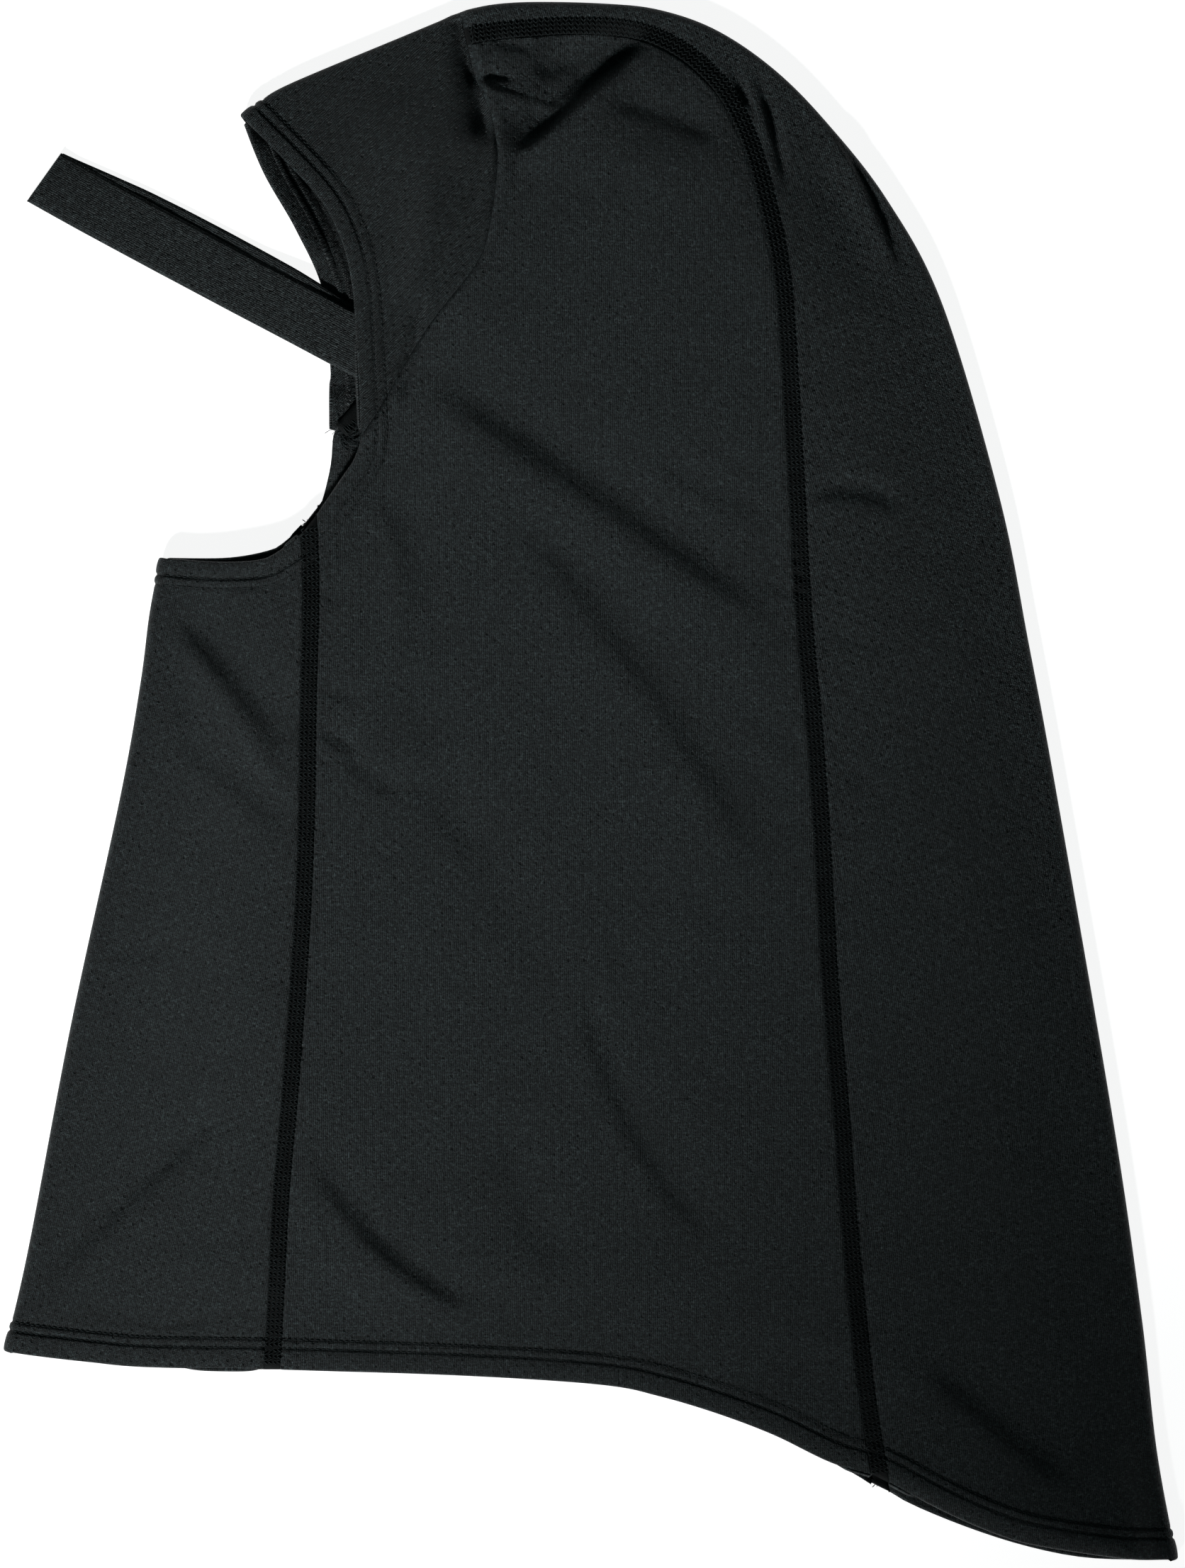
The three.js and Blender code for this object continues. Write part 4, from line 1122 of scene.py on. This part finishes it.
class Nodes:
    """A material's node tree, with short ways to add and join nodes."""

    def __init__(self, name):
        self.material = bpy.data.materials.new(name)
        self.material.use_nodes = True
        self.tree = self.material.node_tree
        self.tree.nodes.clear()
        self.output = self.tree.nodes.new("ShaderNodeOutputMaterial")
        self.shader = self.add("ShaderNodeBsdfPrincipled")
        self.join(self.shader.outputs["BSDF"], self.output.inputs["Surface"])

    def add(self, kind, **settings):
        node = self.tree.nodes.new(kind)
        for key, value in settings.items():
            setattr(node, key, value)
        return node

    def join(self, source, target):
        if isinstance(source, bpy.types.NodeSocket):
            self.tree.links.new(source, target)
        else:
            target.default_value = source

    def math(self, operation, a, b=0.0, c=0.0):
        node = self.add("ShaderNodeMath", operation=operation)
        for socket, value in zip(node.inputs, (a, b, c)):
            self.join(value, socket)
        return node.outputs[0]

    def noise(self, vector, scale, detail=2.0, roughness=0.5):
        node = self.add("ShaderNodeTexNoise")
        self.join(vector, node.inputs["Vector"])
        node.inputs["Scale"].default_value = scale
        node.inputs["Detail"].default_value = detail
        node.inputs["Roughness"].default_value = roughness
        return node.outputs["Fac"]

    def ramp(self, value, low, high, to_low, to_high):
        node = self.add("ShaderNodeMapRange", interpolation_type="SMOOTHSTEP")
        names = ("Value", "From Min", "From Max", "To Min", "To Max")
        for socket, given in zip(names, (value, low, high, to_low, to_high)):
            self.join(given, node.inputs[socket])
        return node.outputs["Result"]

    def saw(self, value):
        """Distance from the middle of each whole step, from 0 in the middle to 1 at its ends."""
        part = self.math("FRACT", value)
        return self.math("ABSOLUTE", self.math("MULTIPLY_ADD", part, 2.0, -1.0))

    def chance(self, column, row):
        """A random number for each whole step of two values."""
        cell = self.add("ShaderNodeCombineXYZ")
        self.join(self.math("FLOOR", column), cell.inputs[0])
        self.join(self.math("FLOOR", row), cell.inputs[1])
        noise = self.add("ShaderNodeTexWhiteNoise", noise_dimensions="2D")
        self.join(cell.outputs[0], noise.inputs["Vector"])
        return noise.outputs["Value"]

    def stitch_row(self):
        """Distance from the nearest row of stitches, as the mesh holds it."""
        node = self.add("ShaderNodeAttribute", attribute_name="stitch_row", attribute_type="GEOMETRY")
        return node.outputs["Fac"]

    def fill(self, values):
        """Sets the sockets of the shader that are the same all over."""
        for name, value in values.items():
            self.shader.inputs[name].default_value = value

    def tint(self, colour, amount):
        """A colour made darker or lighter by a factor."""
        node = self.add("ShaderNodeVectorMath", operation="SCALE")
        node.inputs[0].default_value = colour
        self.join(amount, node.inputs["Scale"])
        return node.outputs[0]

    def bump(self, height, distance, strength):
        node = self.add("ShaderNodeBump")
        node.inputs["Strength"].default_value = strength
        node.inputs["Distance"].default_value = distance
        self.join(height, node.inputs["Height"])
        self.join(node.outputs["Normal"], self.shader.inputs["Normal"])


def knit_material(name, colour, dots=1.0, wales=1.0, speckle=0.94):
    """Fine knit with pin dots: V stitches in narrow wales, painted shade in a pinhole at each dot, painted
    shade along the rows of hem stitches, and speckled yarn.
    """
    look = bpy.context.scene.hood_look
    n = Nodes(name)
    grain = n.add("ShaderNodeUVMap", uv_map="grain").outputs["UV"]
    split = n.add("ShaderNodeSeparateXYZ")
    n.join(grain, split.inputs[0])
    wander = n.math("SUBTRACT", n.noise(grain, 0.35, 3.0), 0.5)
    across = n.math("MULTIPLY_ADD", wander, 0.9, split.outputs["X"])
    along = n.math("MULTIPLY_ADD", wander, 0.7, split.outputs["Y"])
    column = n.math("DIVIDE", across, look.wale)
    course = n.math("DIVIDE", along, look.wale * 0.8)
    wale = n.saw(column)
    stitch = n.saw(n.math("MULTIPLY_ADD", wale, 0.55, course))
    each = n.chance(column, course)
    line = n.math("DIVIDE", along, look.dot_along / 2)
    odd = n.math("MODULO", n.math("ABSOLUTE", n.math("FLOOR", line)), 2.0)
    step = n.math("MULTIPLY_ADD", odd, 0.5, n.math("DIVIDE", across, look.dot_across))
    side = n.math("MULTIPLY", n.math("SUBTRACT", n.math("FRACT", step), 0.5), look.dot_across / 0.42)
    up = n.math("MULTIPLY", n.math("SUBTRACT", n.math("FRACT", line), 0.5), look.dot_along / 2 / 0.56)
    far = n.math("SQRT", n.math("ADD", n.math("POWER", side, 2.0), n.math("POWER", up, 2.0)))
    strong = n.math("MULTIPLY_ADD", n.chance(step, line), 0.75, 0.25)
    # painted shade of a pinhole: a dark spot at each dot of the lattice
    dot = n.math("MULTIPLY", n.ramp(far, 0.55, 1.25, 1.0, 0.0), n.math("MULTIPLY", strong, dots))
    speck = n.noise(grain, 1.3, 3.0, 0.75)
    # painted shade in the sunk grooves of the hem's stitch rows, read from the mesh's stitch_row
    groove_shade = n.ramp(n.math("ABSOLUTE", n.stitch_row()), 0.25, 0.85, 1.0, 0.0)
    light = n.ramp(speck, 0.35, 0.65, 1 - speckle, 1 + speckle)
    for factor in (
        n.math("MULTIPLY_ADD", each, 1.7, 0.15),  # each stitch has a shade of its own
        n.math("MULTIPLY_ADD", wale, -0.34 * wales, 1.12),  # dark between wales
        n.math("MULTIPLY_ADD", stitch, -0.22, 1.08),  # and between stitches
        n.math("MULTIPLY_ADD", dot, -0.95, 1.0),  # painted shade, nearly black, in a pinhole
        n.math("MULTIPLY_ADD", groove_shade, -0.45, 1.0),  # painted shade along a row of hem stitches
        n.ramp(n.noise(grain, 0.045, 3.0, 0.55), 0.25, 0.75, 0.9, 1.1),  # wide, faint clouds
        n.ramp(n.noise(grain, 0.55, 2.0, 0.6), 0.3, 0.7, 0.48, 1.52),  # small, stronger patches
    ):
        light = n.math("MULTIPLY", light, factor)
    n.join(n.tint(colour, light), n.shader.inputs["Base Color"])
    n.fill({
        "Roughness": look.roughness, "Specular IOR Level": 0.3, "Specular Tint": (0.92, 0.98, 1.0, 1.0),
        "Sheen Weight": look.sheen, "Sheen Roughness": 0.42, "Sheen Tint": (0.86, 0.95, 1.0, 1.0),
    })
    height = n.math("MULTIPLY", stitch, -0.22)
    for part, share in ((wale, -0.3 * wales), (dot, -0.9), (speck, 1.1), (each, 0.25)):
        height = n.math("MULTIPLY_ADD", part, share, height)
    n.bump(height, 0.00055, 0.92)
    return n.material


def thread_material(name, colour):
    """Matt looped thread, and painted shade that darkens the cloth between the loops."""
    n = Nodes(name)
    place = n.add("ShaderNodeTexCoord").outputs["Object"]
    fibre = n.noise(place, 3200.0, 2.0, 0.6)
    worn = n.noise(place, 260.0, 2.0)
    light = n.math("MULTIPLY", n.ramp(fibre, 0.3, 0.7, 0.6, 1.4), n.ramp(worn, 0.3, 0.7, 0.75, 1.25))
    # painted shade: the cloth between a seam's threads and the strip under the overlock, marked by stitch_row,
    # darkened to a fifth
    light = n.math("MULTIPLY", light, n.ramp(n.stitch_row(), 4.0, UNDER_STITCHES, 1.0, 0.2))
    n.join(n.tint(colour, light), n.shader.inputs["Base Color"])
    n.fill({"Roughness": 0.72, "Specular IOR Level": 0.1, "Sheen Weight": 0.015})
    n.bump(fibre, 0.0003, 0.8)
    return n.material


def floor_material(colour, glow):
    """A plain light table, which keeps shadows faint."""
    n = Nodes("plain_floor")
    place = n.add("ShaderNodeTexCoord").outputs["Object"]
    n.join(n.tint(colour, n.ramp(n.noise(place, 3.0), 0.3, 0.7, 0.995, 1.0)), n.shader.inputs["Base Color"])
    white = (1.0, 1.0, 1.0, 1.0)
    n.fill({"Roughness": 0.9, "Specular IOR Level": 0.1, "Emission Color": white, "Emission Strength": glow})
    return n.material


def material_named(name, make, *given):
    """The material of this name, made once and shared."""
    return bpy.data.materials.get(name) or make(name, *given)


def dotted_knit():
    return material_named("pin_dot_knit", knit_material, tuple(bpy.context.scene.hood_look.knit))


def seam_thread():
    return material_named("looped_thread", thread_material, tuple(bpy.context.scene.hood_look.thread))


def strap_knit():
    """The strap's knit is smoother than the hood's."""
    colour = tuple(bpy.context.scene.hood_look.strap)
    return material_named("soft_tape", knit_material, colour, 0.6, 1.0, 0.55)


class HOOD_OT_forehead_panel(bpy.types.Operator):
    """Makes the panel over the brow, which turns over along its front edge"""

    bl_idname = "hood.forehead_panel"
    bl_label = "Forehead panel"

    def execute(self, context):
        colour = tuple(c * 0.99 for c in context.scene.hood_look.knit)
        material = material_named("slanted_knit", knit_material, colour, 0.95, 1.7)
        piece = finish_piece(make_forehead_panel(), "twill_knit", material, "forehead_panel")
        return {"FINISHED"}


class HOOD_OT_back_panel(bpy.types.Operator):
    """Makes the panel over the crown and down the back, which turns over along the back"""

    bl_idname = "hood.back_panel"
    bl_label = "Back panel"

    def execute(self, context):
        piece = finish_piece(make_back_panel(), "dotted_knit", dotted_knit(), "back_panel")
        return {"FINISHED"}


class HOOD_OT_chin_panel(bpy.types.Operator):
    """Makes the panel under the chin and down the front, which turns over along the front"""

    bl_idname = "hood.chin_panel"
    bl_label = "Chin panel"

    def execute(self, context):
        piece = finish_piece(make_chin_panel(), "dotted_knit", dotted_knit(), "chin_panel")
        return {"FINISHED"}


class HOOD_OT_side_panels(bpy.types.Operator):
    """Makes the near and the far side panel"""

    bl_idname = "hood.side_panels"
    bl_label = "Side panels"

    def execute(self, context):
        for layer, node in zip(LAYERS, ("side_panel_left", "side_panel_right")):
            piece = finish_piece(make_side_panel(layer), "dotted_knit", dotted_knit(), node)
        return {"FINISHED"}


class HOOD_OT_flat_seams(bpy.types.Operator):
    """Makes the flat seams between the side panels and the back and chin panels"""

    bl_idname = "hood.flat_seams"
    bl_label = "Flat seams"

    def execute(self, context):
        for k, (layer, side) in enumerate(zip(LAYERS, ("left", "right"))):
            for name, line, cuts in (
                (f"crown_seam_{side}", BACK_SEAM[layer], BACK_CUTS),
                (f"chin_seam_{side}", CHIN_SEAM[layer], CHIN_CUTS),
            ):
                piece = make_flat_seam(name + "_looped", layer, line, cuts, k)
                finish_piece(piece, "seam_thread", seam_thread(), name)
        return {"FINISHED"}


class HOOD_OT_brow_edges(bpy.types.Operator):
    """Makes the overlocked raw edges inside the brow seams"""

    bl_idname = "hood.brow_edges"
    bl_label = "Brow seam edges"

    def execute(self, context):
        for k, (layer, side) in enumerate(zip(LAYERS, ("left", "right"))):
            node = f"brow_seam_{side}"
            piece = make_brow_edge(node + "_overlocked", layer, 20 + k)
            finish_piece(piece, "seam_thread", seam_thread(), node)
        return {"FINISHED"}


class HOOD_OT_hem_stitches(bpy.types.Operator):
    """Makes the twin rows of stitches along the bottom hem and the face opening"""

    bl_idname = "hood.hem_stitches"
    bl_label = "Hem stitches"

    def execute(self, context):
        for k, (layer, side) in enumerate(zip(LAYERS, ("left", "right"))):
            for name, lines, rows in (("bottom_hem", HEM, HEM_ROWS), ("face_hem", FACE, FACE_ROWS)):
                piece = make_hem_stitches(f"{name}_stitches_{side}", layer, lines[layer], rows, 30 + k)
                finish_piece(piece, "seam_thread", seam_thread())
        return {"FINISHED"}


class HOOD_OT_head_strap(bpy.types.Operator):
    """Makes the soft strap that hangs out of the face opening"""

    bl_idname = "hood.head_strap"
    bl_label = "Head strap"

    def execute(self, context):
        piece = finish_piece(make_head_strap(), "strap_knit", strap_knit(), "head_strap")
        return {"FINISHED"}


def add_key_light(power):
    """A large soft light from the lower left, whose beam fades towards its rim."""
    light = bpy.data.lights.new("key", "SPOT")
    light.spot_size = math.radians(KEY_CONE)
    light.spot_blend = KEY_FADE
    light.shadow_soft_size = KEY_SIZE
    light.energy = power
    lamp = bpy.data.objects.new("key", light)
    bpy.context.scene.collection.objects.link(lamp)
    lamp.location = KEY_PLACE
    x, y, z = np.subtract(KEY_TARGET, KEY_PLACE)
    lamp.rotation_euler = (math.acos(-z / math.hypot(x, y, z)), 0, math.atan2(y, x) - math.pi / 2)


class HOOD_OT_stage(bpy.types.Operator):
    """Makes the floor, the lights and the camera"""

    bl_idname = "hood.stage"
    bl_label = "Stage"

    def execute(self, context):
        look = context.scene.hood_stage
        bpy.ops.object.select_all(action="DESELECT")
        bpy.ops.mesh.primitive_plane_add(size=FLOOR_SIZE, location=(0, 0, -FLOOR_DROP))
        floor = context.active_object
        floor.name = "floor"
        bpy.ops.object.transform_apply(location=True)
        floor.data.materials.append(floor_material(tuple(look.floor), look.glow))
        add_key_light(look.key_power)
        world = bpy.data.worlds.new("white_room")
        world.use_nodes = True
        background = world.node_tree.nodes["Background"]
        background.inputs["Color"].default_value = SKY_COLOUR
        background.inputs["Strength"].default_value = look.sky
        context.scene.world = world
        camera = bpy.data.cameras.new("camera")
        camera.sensor_fit = "VERTICAL"
        camera.sensor_height = 36
        camera.lens = camera.sensor_height * look.height / (VIEW_HEIGHT * MM)
        camera.clip_end = 20
        viewer = bpy.data.objects.new("camera", camera)
        context.scene.collection.objects.link(viewer)
        viewer.location = (VIEW_MIDDLE[0] * MM, VIEW_MIDDLE[1] * MM, look.height)
        context.scene.camera = viewer
        context.scene.view_settings.view_transform = "Standard"
        context.scene.view_settings.look = "None"
        return {"FINISHED"}


OPERATORS = (
    HOOD_OT_forehead_panel,
    HOOD_OT_back_panel,
    HOOD_OT_chin_panel,
    HOOD_OT_side_panels,
    HOOD_OT_flat_seams,
    HOOD_OT_brow_edges,
    HOOD_OT_hem_stitches,
    HOOD_OT_head_strap,
    HOOD_OT_stage,
)


class HOOD_PT_panel(bpy.types.Panel):
    """Lists the hood's sizes, looks and pieces"""

    bl_idname = "HOOD_PT_panel"
    bl_label = "Sports hijab"
    bl_space_type = "VIEW_3D"
    bl_region_type = "UI"
    bl_category = "Hood"

    def draw(self, context):
        for group in (context.scene.hood_sizes, context.scene.hood_look, context.scene.hood_stage):
            box = self.layout.box()
            for name in group.__annotations__:
                box.prop(group, name)
        for operator in OPERATORS:
            self.layout.operator(operator.bl_idname)


GROUPS = {"hood_sizes": HoodSizes, "hood_look": KnitLook, "hood_stage": StageLook}
CLASSES = (*GROUPS.values(), *OPERATORS, HOOD_PT_panel)


def register():
    for each in CLASSES:
        bpy.utils.register_class(each)
    for name, group in GROUPS.items():
        setattr(bpy.types.Scene, name, PointerProperty(type=group))


def unregister():
    for name in GROUPS:
        delattr(bpy.types.Scene, name)
    for each in reversed(CLASSES):
        bpy.utils.unregister_class(each)


def main():
    register()
    for operator in OPERATORS:
        category, name = operator.bl_idname.split(".")
        getattr(getattr(bpy.ops, category), name)()


if __name__ == "__main__":
    main()
